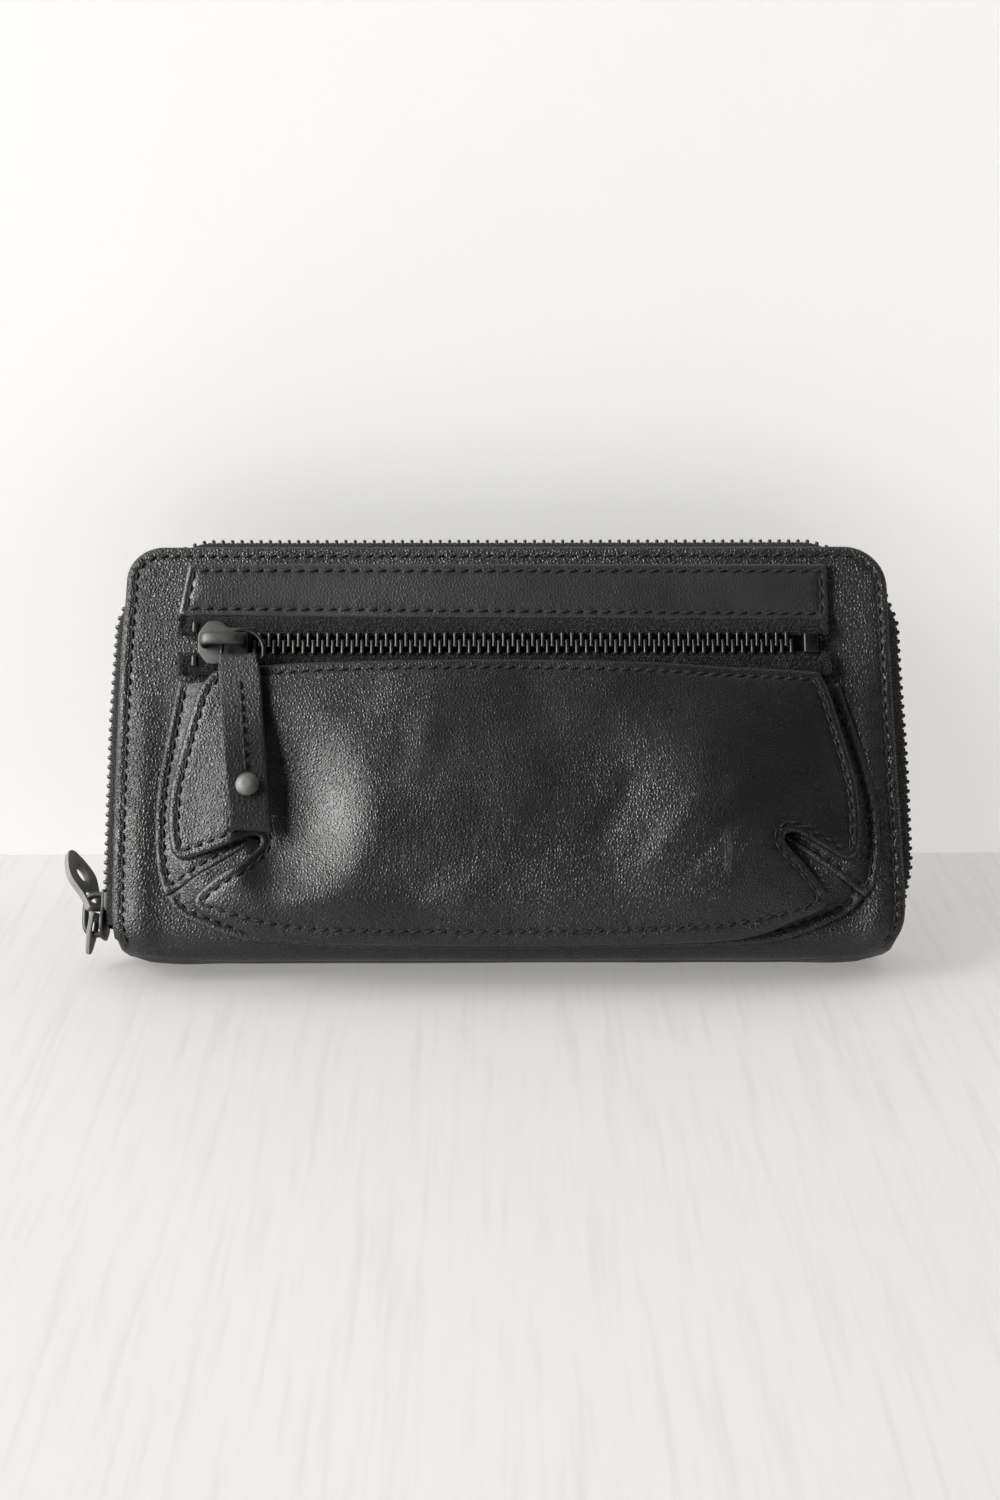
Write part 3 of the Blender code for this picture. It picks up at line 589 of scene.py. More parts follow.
def leather(name, grain=0.5, pebble=0.8, base=0.012, gloss=0.28, marks=False):
    """Black pebbled leather: rounded cells between fine creases that are painted darker as shade, worn
    paler on raised edges.
    """
    n = Nodes.material(name)
    where = n.place()
    warp = n.add("Mix", data_type="VECTOR")
    warp.inputs["Factor"].default_value = 0.0006
    drift = n.add("TexNoise")
    drift.inputs["Scale"].default_value = 380.0
    n.link(where, drift.inputs["Vector"])
    n.link(where, warp.inputs[4])
    n.link(drift.outputs["Color"], warp.inputs[5])
    bent = warp.outputs[1]
    cell = n.cells(bent, 1000.0 / pebble, "DISTANCE_TO_EDGE")
    small = n.cells(bent, 2300.0 / pebble, "DISTANCE_TO_EDGE")
    dome = n.spread(cell, 0.02, 0.42)
    fine = n.spread(small, 0.0, 0.4)
    patch = n.spread(n.noise(where, 22.0, 2.0), 0.35, 0.68, 0.5, 1.0)
    pores = n.noise(where, 5200.0, 2.0)
    relief = n.math("ADD", n.math("MULTIPLY", dome, 0.8), n.math("MULTIPLY", fine, 0.15))
    relief = n.math("MULTIPLY", relief, patch)
    relief = n.math("ADD", relief, n.math("MULTIPLY", pores, 0.05))
    folds = n.noise(n.place((1.0, 1.0, 1.6), (0, 0.5, 0)), 60.0, 2.0, 0.5)
    normal = n.bump(folds, 0.2, 0.8)
    tone = n.math("MULTIPLY", n.noise(where, 60.0, 4.0), 0.6)
    colour = n.mix(tone, (base * 0.8,) * 3, (base * 1.5, base * 1.5, base * 1.53))
    # Painted shade: the creases between the pebble cells are darkened towards near black, where shadow
    # would fall in them.
    crease_shade = n.math("MULTIPLY", n.math("SUBTRACT", 1.0, dome), grain * 0.6)
    colour = n.mix(crease_shade, colour, (0.003, 0.003, 0.003))
    if not marks:
        worn = n.spread(n.add("NewGeometry").outputs["Pointiness"], 0.5, 0.58)
        colour = n.mix(n.math("MULTIPLY", worn, 0.35), colour, (base * 3.0, base * 2.95, base * 2.9))
    else:
        wrinkles, scuff = panel_marks(n)
        normal = n.bump(wrinkles, 0.22, 0.6, normal)
        colour = n.mix(n.math("MULTIPLY", scuff, 0.5), colour, (0.06, 0.06, 0.06))
    normal = n.bump(relief, grain, 0.26, normal)
    crease = n.math("MULTIPLY", n.math("SUBTRACT", 1.0, dome), 0.22 * grain)
    rough = n.math("ADD", n.spread(n.noise(where, 40.0, 3.0), 0.3, 0.7, gloss - 0.04, gloss + 0.06), crease)
    return n.finish(colour, rough, 0.0, normal, Specular_IOR_Level=0.5)


def panel_marks(n):
    """Fine slanting wrinkles over the panel's swell, and one short rubbed streak."""
    split = n.add("SeparateXYZ")
    n.link(n.place(), split.inputs[0])
    x, z = split.outputs["X"], split.outputs["Z"]

    def blob(cx, cz, width, height):
        a = n.math("POWER", n.math("DIVIDE", n.math("SUBTRACT", x, cx * MM), width * MM), 2.0)
        b = n.math("POWER", n.math("DIVIDE", n.math("SUBTRACT", z, cz * MM), height * MM), 2.0)
        return n.spread(n.math("ADD", a, b), 1.0, 0.2)

    lines = n.noise(n.place((1.0, 1.0, 0.3), (0, math.radians(28), 0)), 520.0, 3.0, 0.6)
    scratches = n.noise(n.place((1.0, 1.0, 0.1)), 2500.0, 2.0)
    spread = n.math("MAXIMUM", blob(38.0, 36.0, 34.0, 27.0), blob(-14.0, 26.0, 30.0, 16.0))
    scuff = n.math("MULTIPLY", blob(54.0, 25.0, 1.5, 7.5), n.spread(scratches, 0.35, 0.65))
    return n.math("MULTIPLY", lines, spread), scuff


def thread_finish():
    n = Nodes.material("sewing_thread")
    twist = n.math("SINE", n.math("MULTIPLY", n.attribute("along"), 14.0))
    normal = n.bump(twist, 0.4, 0.08)
    colour = n.mix(n.noise(n.place(), 900.0), (0.002, 0.002, 0.0022), (0.009, 0.009, 0.0095))
    return n.finish(colour, 0.6, 0.0, normal, Sheen_Weight=0.05, Specular_IOR_Level=0.22)


def woven_tape():
    """Zip tape: a fine herringbone weave along the chain, with uneven yarn and highlights painted on the
    weave's ridges.
    """
    n = Nodes.material("woven_tape")
    across = n.attribute("across")
    along = n.attribute("along")
    zigzag = n.math("PINGPONG", across, 0.9)
    rib = n.math("SINE", n.math("MULTIPLY", n.math("ADD", along, zigzag), 8.0))
    warp = n.math("SINE", n.math("MULTIPLY", across, 9.0))
    yarn = n.math("MULTIPLY", n.math("SUBTRACT", n.noise(n.place(), 1500.0, 2.0), 0.5), 4.5)
    weave = n.math("ADD", n.math("MULTIPLY", rib, 0.45), n.math("MULTIPLY", warp, 0.25))
    weave = n.math("ADD", weave, yarn)
    # Partly painted highlight: the colour is lighter where the weave's ribs stand up, standing in for
    # glints. The yarn noise in it is uneven yarn.
    lit = n.spread(weave, 0.0, 1.0)
    colour = n.mix(lit, (0.0004, 0.0004, 0.0004), (0.026, 0.026, 0.027))
    fuzz = n.noise(n.place(), 3000.0)
    normal = n.bump(weave, 0.9, 0.3, n.bump(fuzz, 0.3, 0.1))
    return n.finish(colour, 0.85, 0.0, normal, Sheen_Weight=0.03, Specular_IOR_Level=0.2)


def metal(name, tone, roughness, wear=0.25):
    """Plated metal with soft clouding, fine scratches and paler rubbed edges."""
    n = Nodes.material(name)
    where = n.place()
    cloud = n.noise(where, 160.0, 4.0)
    scratch = n.noise(n.place((1.0, 1.0, 14.0), (0.3, 0.2, 0.4)), 900.0, 2.0)
    worn = n.spread(n.add("NewGeometry").outputs["Pointiness"], 0.5, 0.62)
    colour = n.mix(cloud, (tone * 0.75,) * 3, (tone * 1.2, tone * 1.19, tone * 1.16))
    colour = n.mix(n.math("MULTIPLY", worn, wear), colour, (tone * 2.4, tone * 2.35, tone * 2.25))
    rough = n.math("ADD", n.spread(cloud, 0.3, 0.7, roughness - 0.06, roughness + 0.06),
                   n.math("MULTIPLY", scratch, 0.08))
    normal = n.bump(n.math("ADD", scratch, n.math("MULTIPLY", cloud, 0.5)), 0.12, 0.1)
    return n.finish(colour, rough, 1.0, normal)


def twill_lining():
    n = Nodes.material("twill_lining")
    diagonal = n.add("TexWave", wave_type="BANDS", bands_direction="DIAGONAL")
    diagonal.inputs["Scale"].default_value = 420.0
    diagonal.inputs["Distortion"].default_value = 0.6
    n.link(n.place(), diagonal.inputs["Vector"])
    rib = diagonal.outputs["Fac"]
    colour = n.mix(rib, (0.016, 0.016, 0.017), (0.055, 0.053, 0.056))
    soft = n.noise(n.place(), 60.0, 4.0)
    normal = n.bump(rib, 0.5, 0.12, n.bump(soft, 0.2, 0.6))
    return n.finish(colour, 0.8, 0.0, normal, Sheen_Weight=0.2)


def plain_board():
    n = Nodes.material("grey_board")
    fibre = n.noise(n.place((1.0, 1.0, 5.0)), 700.0, 4.0)
    colour = n.mix(fibre, (0.2, 0.19, 0.17), (0.34, 0.32, 0.28))
    return n.finish(colour, 0.9, 0.0, n.bump(fibre, 0.3, 0.1))


def coil_plastic():
    n = Nodes.material("coil_plastic")
    colour = n.mix(n.noise(n.place(), 500.0), (0.01, 0.01, 0.011), (0.03, 0.03, 0.032))
    return n.finish(colour, 0.42, 0.0, n.bump(n.noise(n.place(), 2500.0), 0.15, 0.05))


GRAINED = leather("leather_grained", grain=0.9, pebble=0.88, base=0.011, gloss=0.26)
PANEL = leather("leather_panel", grain=0.6, pebble=0.82, base=0.008, gloss=0.28, marks=True)
TRIM = leather("leather_trim", grain=0.35, pebble=0.9, base=0.0135, gloss=0.36)
STRAP = leather("leather_strap", grain=0.7, pebble=0.95, base=0.0075, gloss=0.40)
INNER = leather("leather_inside", grain=0.35, pebble=0.8, base=0.016, gloss=0.42)
THREAD = thread_finish()
TAPE = woven_tape()
GUNMETAL = metal("gunmetal", 0.075, 0.52)
TEETH = metal("chain_teeth", 0.032, 0.42, 0.5)
PULL_METAL = metal("pull_metal", 0.28, 0.85, 0.0)
STOP_METAL = metal("stop_metal", 0.035, 0.38)
RIVET = metal("rivet_metal", 0.14, 0.6)
LINING = twill_lining()
BOARD = plain_board()
COIL = coil_plastic()


# ------------------------------------------------------------------ covers


def cover_outline():
    """The cover and half of the spine, in (x, height up the face). The lower left flares a little."""
    low = SPINE_RADIUS - SPINE_RADIUS * math.pi / 2 - FLAT
    side = [
        (-1.2, low), (-1.2, -1.0), (0.3, 4.0), (1.2, 10.0), (1.4, 20.0), (0.7, 50.0),
        (0.0, TOP - CORNER),
    ]
    flare = [
        (0.0, low), (0.0, -1.0), (0.9, 4.0), (1.3, 10.0), (1.6, 24.0), (1.7, 50.0), (1.3, 80.0),
        (0.5, TOP - CORNER),
    ]
    bend = arc((SIDE - CORNER, TOP - CORNER), CORNER, 0, 90, 12)
    tight = arc((SIDE - TIGHT_CORNER, TOP - TIGHT_CORNER), TIGHT_CORNER, 0, 90, 12)
    right = np.vstack((smooth(side, 6)[:-1] + (SIDE, 0), bend))
    spread = (0.5, 0) * (tight[:, :1] - SIDE + TIGHT_CORNER) / TIGHT_CORNER
    left = np.vstack((smooth(flare, 6)[:-1] + (SIDE, 0), tight + spread))
    return np.vstack((right, left[::-1] * (-1, 1)))


def cover_relief(seed, outline):
    """Slow waves in the cover's leather and a roll along its edge, outside the seam."""

    def relief(uv):
        broad = wavy(uv, 46.0, seed) * 0.38
        tight = wavy(uv, 15.0, seed + 5) * 0.16
        gap, _ = near(uv, outline, closed=True)
        band = 1.1 * np.exp(-(((gap - 7.0) / 3.2) ** 2)) * ramp(78.0 - uv[:, 1], 0.0, 30.0)
        return (broad + tight) * np.clip(gap / 12.0, 0.15, 1) + band * ramp(np.abs(uv[:, 0]), 70.0, 88.0)

    return relief


def build_cover(label, sign, fold, seed):
    outline = cover_outline()
    seam = inset(outline, 2.7)
    seam = seam[seam[:, 1] > 0.5]
    start = np.argmax(np.linalg.norm(np.roll(seam, 1, axis=0) - seam, axis=1))
    seam = np.roll(seam, -start, axis=0)
    pitch = 3.1
    skin = Skin(
        outline, wrapped(sign, LEATHER), LEATHER, cover_relief(seed, outline), edge=1.3,
        seams=[(seam, False, pitch, 0.36)],
    )
    cover = skin.mesh(f"{label}_cover_leather", GRAINED, 2.2, rings=(1.8, 2.25, 3.2, 3.9))
    nodes = (f"{label}_cover", "spine") if label == "front" else (f"{label}_cover",)
    fix(cover, fold, "leather", *nodes)
    sewing = thread(f"{label}_cover_stitching", [(skin, seam, False, pitch)])
    fix(sewing, fold, "leather")
    return skin


# ------------------------------------------------------------------ main zip

BULGE = 3.4  # how far the chain stands past the covers' edge along the straights
CORNER_BULGE = 0.3
FOOT_LEFT = span("front_zip_teeth")[0].z
FOOT_RIGHT = span("main_zip_end_stop")[1].z + 0.3
PITCH = 2.5


def zip_path():
    """Point, outward direction and stand-off by the distance along the covers' edge."""
    marks = np.cumsum([
        0.0, TOP - CORNER - FOOT_LEFT, CORNER * math.pi / 2, 2 * (SIDE - CORNER),
        CORNER * math.pi / 2, TOP - CORNER - FOOT_RIGHT,
    ])

    def at(s):
        s = np.clip(np.asarray(s, float), 0, marks[-1])
        turn = np.clip(s - marks[1], 0, marks[2] - marks[1]) + np.clip(s - marks[3], 0, marks[4] - marks[3])
        turn = math.pi - turn / CORNER
        out = np.column_stack((np.cos(turn), np.sin(turn)))
        side, top = SIDE - CORNER, TOP - CORNER
        x = np.where(s < marks[2], -side, np.where(s < marks[3], -side + s - marks[2], side))
        z = np.where(s < marks[1], FOOT_LEFT + s, np.where(s < marks[4], top, top - (s - marks[4])))
        points = np.column_stack((x, z)) + out * CORNER
        bend = (marks[2] - marks[1]) / 2
        away = np.minimum(
            np.abs(s - (marks[1] + marks[2]) / 2) - bend, np.abs(s - (marks[3] + marks[4]) / 2) - bend
        )
        lift = CORNER_BULGE + (BULGE - CORNER_BULGE) * ramp(away, -3.0, 9.0)
        lift += 0.9 * ramp(marks[1] - s, 0.0, 40.0)
        lift += 0.9 * ramp(s - marks[4], 10.0, 50.0) - 2.4 * ramp(s - marks[-1], -14.0, 0.0)
        return points, out, lift

    return at, marks[-1]


def tooth():
    """One tooth: (along, across, through), its head past the chain's middle, its root on the tape."""
    outline = [(-0.5, -0.75), (-0.38, -0.95), (0.38, -0.95), (0.5, -0.75), (0.4, 0.1), (0.42, 0.7),
               (0.45, 2.5), (0.35, 2.85), (-0.35, 2.85), (-0.45, 2.5), (-0.42, 0.7), (-0.4, 0.1)]
    layers = [(-1.12, 0.78), (-0.95, 1.0), (0.95, 1.0), (1.12, 0.78)]
    middle = np.array((0.0, 1.0))
    verts = []
    for up, share in layers:
        for x, y in outline:
            head = 0.85 if y < 0.3 else 1.0
            px, py = middle + (np.array((x, y)) - middle) * (share, 1 - (1 - share) * 0.35)
            verts.append((px, py, up * head))
    n = len(outline)
    faces = shell(len(layers), n, capped=False)
    top = (len(layers) - 1) * n
    for base, flip in ((0, True), (top, False)):
        half = [(0, 1, 2, 3, 4, 11), (4, 5, 10, 11), (5, 6, 9, 10), (6, 7, 8, 9)]
        for f in half:
            face = tuple(base + i for i in f)
            faces.append(face[::-1] if flip else face)
    return np.array(verts), faces


def teeth_row(name, count, first, at, flip, material):
    """Copies of the tooth, carried along the chain by `at`(along, across, through)."""
    shape, quads = tooth()
    verts, faces = [], []
    for i in range(count):
        s = first + PITCH * i
        v = at(s + shape[:, 0], shape[:, 1], shape[:, 2])
        start = len(shape) * i
        verts.append(v)
        for q in quads:
            face = [start + k for k in q]
            faces.append(face[::-1] if flip else face)
    return outward(add(name, np.vstack(verts), faces, material))


def build_main_zip():
    at, total = zip_path()
    for label, sign, first in (("front", -1, 0.9), ("back", 1, 0.9 + PITCH / 2)):

        def chain(s, across, through):
            points, out, lift = at(s)
            edge = points + out * (lift + through)[:, None]
            return np.column_stack((edge[:, 0], sign * across, edge[:, 1]))

        count = int((total - first - 0.6) / PITCH) + 1
        row = teeth_row(f"{label}_chain_teeth", count, first, chain, sign > 0, TEETH)
        fix(row, f"{label}_half", "metal", f"{label}_zip_teeth")
        build_main_tape(label, sign, at, total)


def build_main_tape(label, sign, at, total):
    """The woven tape: flat under the teeth, then rounding over and down behind the cover's edge."""
    s = np.arange(-3.0, total + 3.0, 1.6)
    points, out, lift = at(s)
    beyond = np.clip(-s, 0, None) - np.clip(s - total, 0, None)
    points = points - np.column_stack((np.zeros_like(s), beyond))
    shape = smooth([(0, 2.3), (-0.25, 3.3), (-1.1, 5.2), (-2.2, 7.4), (-3.6, 9.3), (-6.0, 10.3)], 4)
    across = normals(shape) * 0.26
    ring = np.vstack((shape + across, (shape - across)[::-1]))
    share = np.clip((ring[:, 1] - 5.0) / 5.0, 0, 1)
    sections, along, width = [], [], []
    for k in range(len(s)):
        depth = lift[k] * (1 - share) + 1.6 * share + ring[:, 0]
        wave = 0.18 * math.sin(s[k] * 0.55) * np.clip((ring[:, 1] - 4) / 4, 0, 1)
        edge = points[k] + out[k] * (depth + wave)[:, None]
        sections.append(np.column_stack((edge[:, 0], sign * ring[:, 1], edge[:, 1])))
        along += [s[k]] * len(ring)
        width += list(ring[:, 1])
    tape = loft(f"{label}_zip_tape_woven", sections, TAPE, {"along": along, "across": width})
    fix(tape, f"{label}_half", "tape", f"{label}_zip_tape")


def build_end_stop():
    low, high = span("main_zip_end_stop")
    box = [(-2.9, -1.1), (2.9, -1.1), (2.9, 1.1), (-2.9, 1.1)]
    body = plate("main_zip_end_clamp", [box], 2.2, STOP_METAL, 0.6)
    middle = (low + high) / 2 + Vector((-2.2, 0, 1.2))
    body.matrix_world = Matrix.Translation(middle * MM) @ turns((90, "Z"), (90, "X"))
    fix(body, "core", "metal", "main_zip_end_stop")


# ------------------------------------------------------------------ sliders and pulls


def slider(name, turn, centre, scale=1.0):
    """Slider seen from outside: shaped plates, side walls and the bridge for the pull.

    Local x points to the mouth, y across the chain, z out of the wallet.
    """
    upper = [
        (6.5, 1.8), (6.2, 2.8), (4.4, 5.2), (3.6, 5.65), (1.2, 5.6), (-0.6, 4.5), (-1.9, 3.9),
        (-5.6, 3.8), (-6.2, 3.0),
    ]
    outline = smooth(upper, 4)
    outline = np.vstack((outline, outline[::-1] * (1, -1))) * scale
    plates = []
    for level, thick in ((1.75, 0.9), (-1.7, 0.8)):
        body = plate("plate", [outline], thick, GUNMETAL, 0.28)
        body.location.z = level * MM
        plates.append(body)
    for side in (-1, 1):
        wall = [(-5.4, -1.5), (-0.6, -1.5), (-0.6, 1.5), (-5.4, 1.5)]
        for face in (-1, 1):
            lip = plate("lip", [[(x, y * 0.34 * scale) for x, y in wall]], 0.95, GUNMETAL, 0.12)
            lip.location = Vector((0, side * 3.35 * scale, face * 1.02)) * MM
            plates.append(lip)
    plates.append(bridge(scale))
    bpy.context.view_layer.update()
    body = join(name, plates)
    body.matrix_world = Matrix.Translation(Vector(centre) * MM) @ turn
    return body


def bridge(scale):
    """A thick rounded strap of metal, both ends rooted in the outer plate."""
    side = [(4.9, 1.6), (5.1, 3.6), (4.7, 5.5), (3.2, 6.5), (0, 6.7)]
    line = smooth([(-x, z) for x, z in side] + side[-2::-1], 6)
    up = -normals(line)
    turn = np.linspace(0, 2 * math.pi, 16, endpoint=False)
    c, s = np.cos(turn), np.sin(turn)
    wide = np.sign(c) * np.abs(c) ** 0.8 * 1.65 * scale
    thick = np.sign(s) * np.abs(s) ** 0.9 * 0.8
    sections = []
    for p, u in zip(line, up):
        sections.append(np.column_stack((p[0] + u[0] * thick, wide, p[1] + u[1] * thick)))
    return loft("bridge", sections, GUNMETAL)


MOUTH_DOWN_OUT_LEFT = Matrix(((0, 0, -1, 0), (0, -1, 0, 0), (-1, 0, 0, 0), (0, 0, 0, 1)))
MOUTH_LEFT_OUT_FRONT = Matrix(((-1, 0, 0, 0), (0, 0, -1, 0), (0, -1, 0, 0), (0, 0, 0, 1)))
MOUTH_LEFT_OUT_UP = Matrix(((-1, 0, 0, 0), (0, -1, 0, 0), (0, 0, 1, 0), (0, 0, 0, 1)))


def joint(name):
    return next(j for j in frame["joints"] if j["name"] == name)


def pull_shape(length, shoulder, tip):
    side = smooth([(2.75, -0.4), (2.9, 3.6), (shoulder, length * 0.55), (tip * 1.3, length - tip)], 5)[:-1]
    end = arc((0.0, length - tip), tip, 25, 90, 6)
    half = np.vstack(([(2.2, -0.85)], side, end))
    return np.vstack((half, half[:-1][::-1] * (-1, 1)))


def round_window(width, low, high, steps=20):
    turn = np.linspace(0, 2 * math.pi, steps, endpoint=False)
    c, s = np.cos(turn), np.sin(turn)
    return np.column_stack((width * c, (low + high) / 2 + (high - low) / 2 * s))


EYE = 2.05, 0.7, 5.2  # half-width and ends of the hole that hangs on a bridge
LEAF_TURN = turns((-8, "Y"), (-36, "Z"), (90, "Z"), (90, "X"), (-24, "X"))
TAB_TURN = turns((-8, "Z"), (90, "Z"), (90, "X"), (188, "X"))


def pull(name, outlines, thickness, turn, joint_name, material, bevel=0.42):
    body = plate(name, outlines, thickness, material, bevel, 4)
    body.matrix_world = Matrix.Translation(Vector(joint(joint_name)["pos_m"])) @ turn
    return body


def build_main_slider():
    low, high = span("main_slider_body")
    stop_low, stop_high = span("main_zip_end_stop")
    chain_x = -(stop_low.x + stop_high.x) / 2
    body = slider("main_slider_metal", MOUTH_DOWN_OUT_LEFT, (chain_x, 0.0, (low.z + high.z) / 2))
    fix(body, "main_slider", "metal", "main_slider_body")
    eye = round_window(*EYE)
    leaf = pull(
        "main_leaf_metal", [pull_shape(17.5, 4.3, 1.8), eye, round_window(1.55, 7.4, 12.8)], 1.7,
        LEAF_TURN, "main_leaf_swing", PULL_METAL, 0.6,
    )
    fix(leaf, "main_leaf", "metal", "main_pull_leaf")
    tab = pull(
        "main_tab_metal", [pull_shape(10.0, 2.5, 1.1), eye], 1.3, TAB_TURN, "main_tab_swing", PULL_METAL,
    )
    fix(tab, "main_tab", "metal", "main_pull_tab")


def build_pocket_slider():
    low, high = span("pocket_slider_body")
    centre = (low.x + high.x) / 2, POCKET_CHAIN_Y, (low.z + high.z) / 2
    body = slider("pocket_slider_metal", MOUTH_LEFT_OUT_FRONT, centre)
    fix(body, "pocket_slider", "metal", "pocket_slider_body")
    low, high = span("pocket_pull_ring")
    wire = 0.5
    x, y = (low.x + high.x) / 2, (low.y + high.y) / 2
    radius = (high.x - low.x) / 2 - wire
    bar = low.z + wire
    line = np.vstack((
        arc((0, high.z - wire - radius), radius, 0, 180, 24),
        arc((-radius + 0.9, bar + 0.9), 0.9, 180, 270, 4),
        arc((radius - 0.9, bar + 0.9), 0.9, 270, 360, 4),
    ))
    path = np.column_stack((x + line[:, 0], np.full(len(line), y), line[:, 1]))
    ring = tube("pocket_pull_wire", path, wire, TEETH, closed=True)
    fix(ring, "pocket_ring", "metal", "pocket_pull_ring")


# ------------------------------------------------------------------ pull strap

STRAP_TILT = math.radians(7.5)
STRAP_SLANT = math.tan(math.radians(5.6))
STRAP_LENGTH = 44.5
RIVET_DOWN = 33.5
STRAP_BEND = 3.4  # how far its lower end bends toward the panel
STRAP_ROLL = 0.26  # how far its right edge sinks toward the panel, for each millimetre across


class Strap:
    """The folded strap in its own frame: x across, z up from the wire it hangs on, y to the back."""

    def __init__(self):
        self.layer = 1.0
        gap = 0.56
        back = [(gap, -STRAP_LENGTH), (gap, -5.0), (0.9, -2.2)]
        bend = arc((0, 0), 1.05, 0, 180, 12)
        front = [
            (-0.95, -2.2), (-gap - 0.05, -5.5), (-gap, -12.0), (-gap - 0.35, -24.0),
            (-gap, -RIVET_DOWN), (-gap, -STRAP_LENGTH),
        ]
        self.line = resample(np.vstack((smooth(back, 8), bend, smooth(front, 10))), 0.7)
        self.line[:, 0] += STRAP_BEND * np.clip((-self.line[:, 1] - 16.0) / 28.5, 0, 1) ** 2

    def roll(self, z):
        return STRAP_ROLL * ramp(-z, 6.0, 26.0)

    def half_width(self, z):
        return np.interp(z, (-STRAP_LENGTH, -14.0, -5.0, -2.2, -0.6, 3.0), (5.05, 5.2, 5.3, 5.2, 4.75, 4.7))

    def sections(self):
        normal = normals(self.line)
        turn = np.linspace(0, 2 * math.pi, 28, endpoint=False)
        c, s = np.cos(turn), np.sin(turn)
        power = 0.16
        rings = []
        for p, n in zip(self.line, normal):
            wide = self.half_width(p[1])
            x = np.sign(c) * np.abs(c) ** power * wide
            t = np.sign(s) * np.abs(s) ** 0.5 * self.layer / 2 * (1 - 0.65 * np.exp(-(x**2)))
            z = p[1] + n[1] * t
            y = p[0] + n[0] * t + self.roll(z) * x
            rings.append(np.column_stack((x + self.lean(z), y, z)))
        return rings

    def lean(self, z):
        """Sideways set of the hanging strap, about its middle."""
        return -(z + 24.0) * STRAP_SLANT + 1.4

    def at(self, uv):
        """(x, z) on the front layer's outer face."""
        z = uv[:, 1]
        front = self.line[len(self.line) // 2:]
        y = np.interp(-z, -front[:, 1], front[:, 0]) - self.layer / 2 + self.roll(z) * uv[:, 0]
        out = np.column_stack((np.zeros_like(z), -np.ones_like(z), np.zeros_like(z)))
        return np.column_stack((uv[:, 0] + self.lean(z), y, z)), out


def build_strap():
    hinge = Vector(joint("pocket_pull_lift")["pos_m"])
    seat = Matrix.Translation(hinge) @ Matrix.Rotation(-STRAP_TILT, 4, "X")
    strap = Strap()
    body = loft("pocket_pull_leather", strap.sections(), STRAP)
    body.matrix_world = seat
    fix(body, "pocket_pull", "leather", "pocket_pull_strap")
    seam = np.column_stack((np.zeros(2), (-6.0, -RIVET_DOWN + 3.2)))
    sewing = thread("pocket_pull_stitching", [(strap, seam, False, 2.9)], radius=0.45)
    sewing.matrix_world = seat
    fix(sewing, "pocket_pull", "leather")
    profile = smooth([(0.0, 1.5), (1.2, 1.42), (2.3, 0.95), (2.95, 0.3), (3.0, 0.0)], 5)
    shank = [(2.6, -0.25), (1.0, -0.3), (1.0, -2.2), (2.5, -2.4), (2.5, -2.8), (0.0, -2.9)]
    profile = np.vstack((profile, shank))
    steps = 40
    turn = np.linspace(0, 2 * math.pi, steps, endpoint=False)
    sections = []
    face = strap.at(np.array([(0.0, -RIVET_DOWN)]))[0][0]
    for r, h in profile[1:-1]:
        sections.append(np.column_stack((
            face[0] + r * np.cos(turn), np.full(steps, face[1] - 0.15 - h), face[2] + r * np.sin(turn)
        )))
    rivet = loft("pocket_pull_rivet_cap", sections, RIVET)
    rivet.matrix_world = seat
    fix(rivet, "pocket_pull", "metal", "pocket_pull_rivet")


# ------------------------------------------------------------------ front pocket

POCKET_ZIP_Z = (span("pocket_zip_teeth_upper")[1].z + span("pocket_zip_teeth_lower")[0].z) / 2
POCKET_CHAIN_Y = (span("pocket_zip_teeth_upper")[0].y + span("pocket_zip_teeth_upper")[1].y) / 2

# Outlines of the pocket, in (x, height up the face), from its left side round to its right.
PANEL_TOP = [
    (77.0, 72.2), (53.0, 73.6), (33.6, 74.8), (-4.0, 75.6), (-43.0, 75.1), (-60.7, 74.2), (-73.4, 73.0),
]
PANEL_LEFT = [
    (-76.8, 70.6), (-79.0, 67.0), (-81.0, 60.0), (-83.5, 50.0), (-85.2, 42.0), (-85.6, 33.0),
    (-84.8, 27.4),
]
LEFT_NOTCH = [
    (-83.4, 24.8), (-80.9, 23.9), (-74.3, 25.9), (-69.3, 27.8), (-64.8, 29.9), (-62.7, 29.6),
    (-63.0, 27.3), (-66.8, 23.2), (-71.0, 20.9), (-74.7, 18.3), (-77.8, 15.6), (-78.7, 13.4),
    (-77.4, 11.0),
]
PANEL_FOOT = [
    (-75.0, 9.4), (-64.0, 6.2), (-54.5, 4.9), (-37.0, 4.3), (0.0, 4.1), (28.0, 4.3), (52.0, 4.9),
    (62.0, 5.9), (70.0, 7.9), (75.6, 9.8),
]
RIGHT_NOTCH = [
    (78.6, 11.6), (79.2, 13.6), (78.2, 16.6), (75.4, 20.2), (72.4, 23.6), (69.6, 26.6), (68.6, 28.9),
    (71.0, 30.0), (76.0, 27.9), (82.4, 24.3), (85.8, 23.8),
]
PANEL_RIGHT = [(87.8, 26.8), (88.2, 35.6), (87.3, 45.0), (84.2, 57.0), (81.8, 66.0), (79.8, 70.6)]
GUSSET_LEFT = [
    (-84.5, 71.2), (-86.8, 57.4), (-88.8, 45.0), (-89.4, 34.0), (-88.8, 24.0), (-87.2, 17.4),
    (-86.0, 15.2),
]
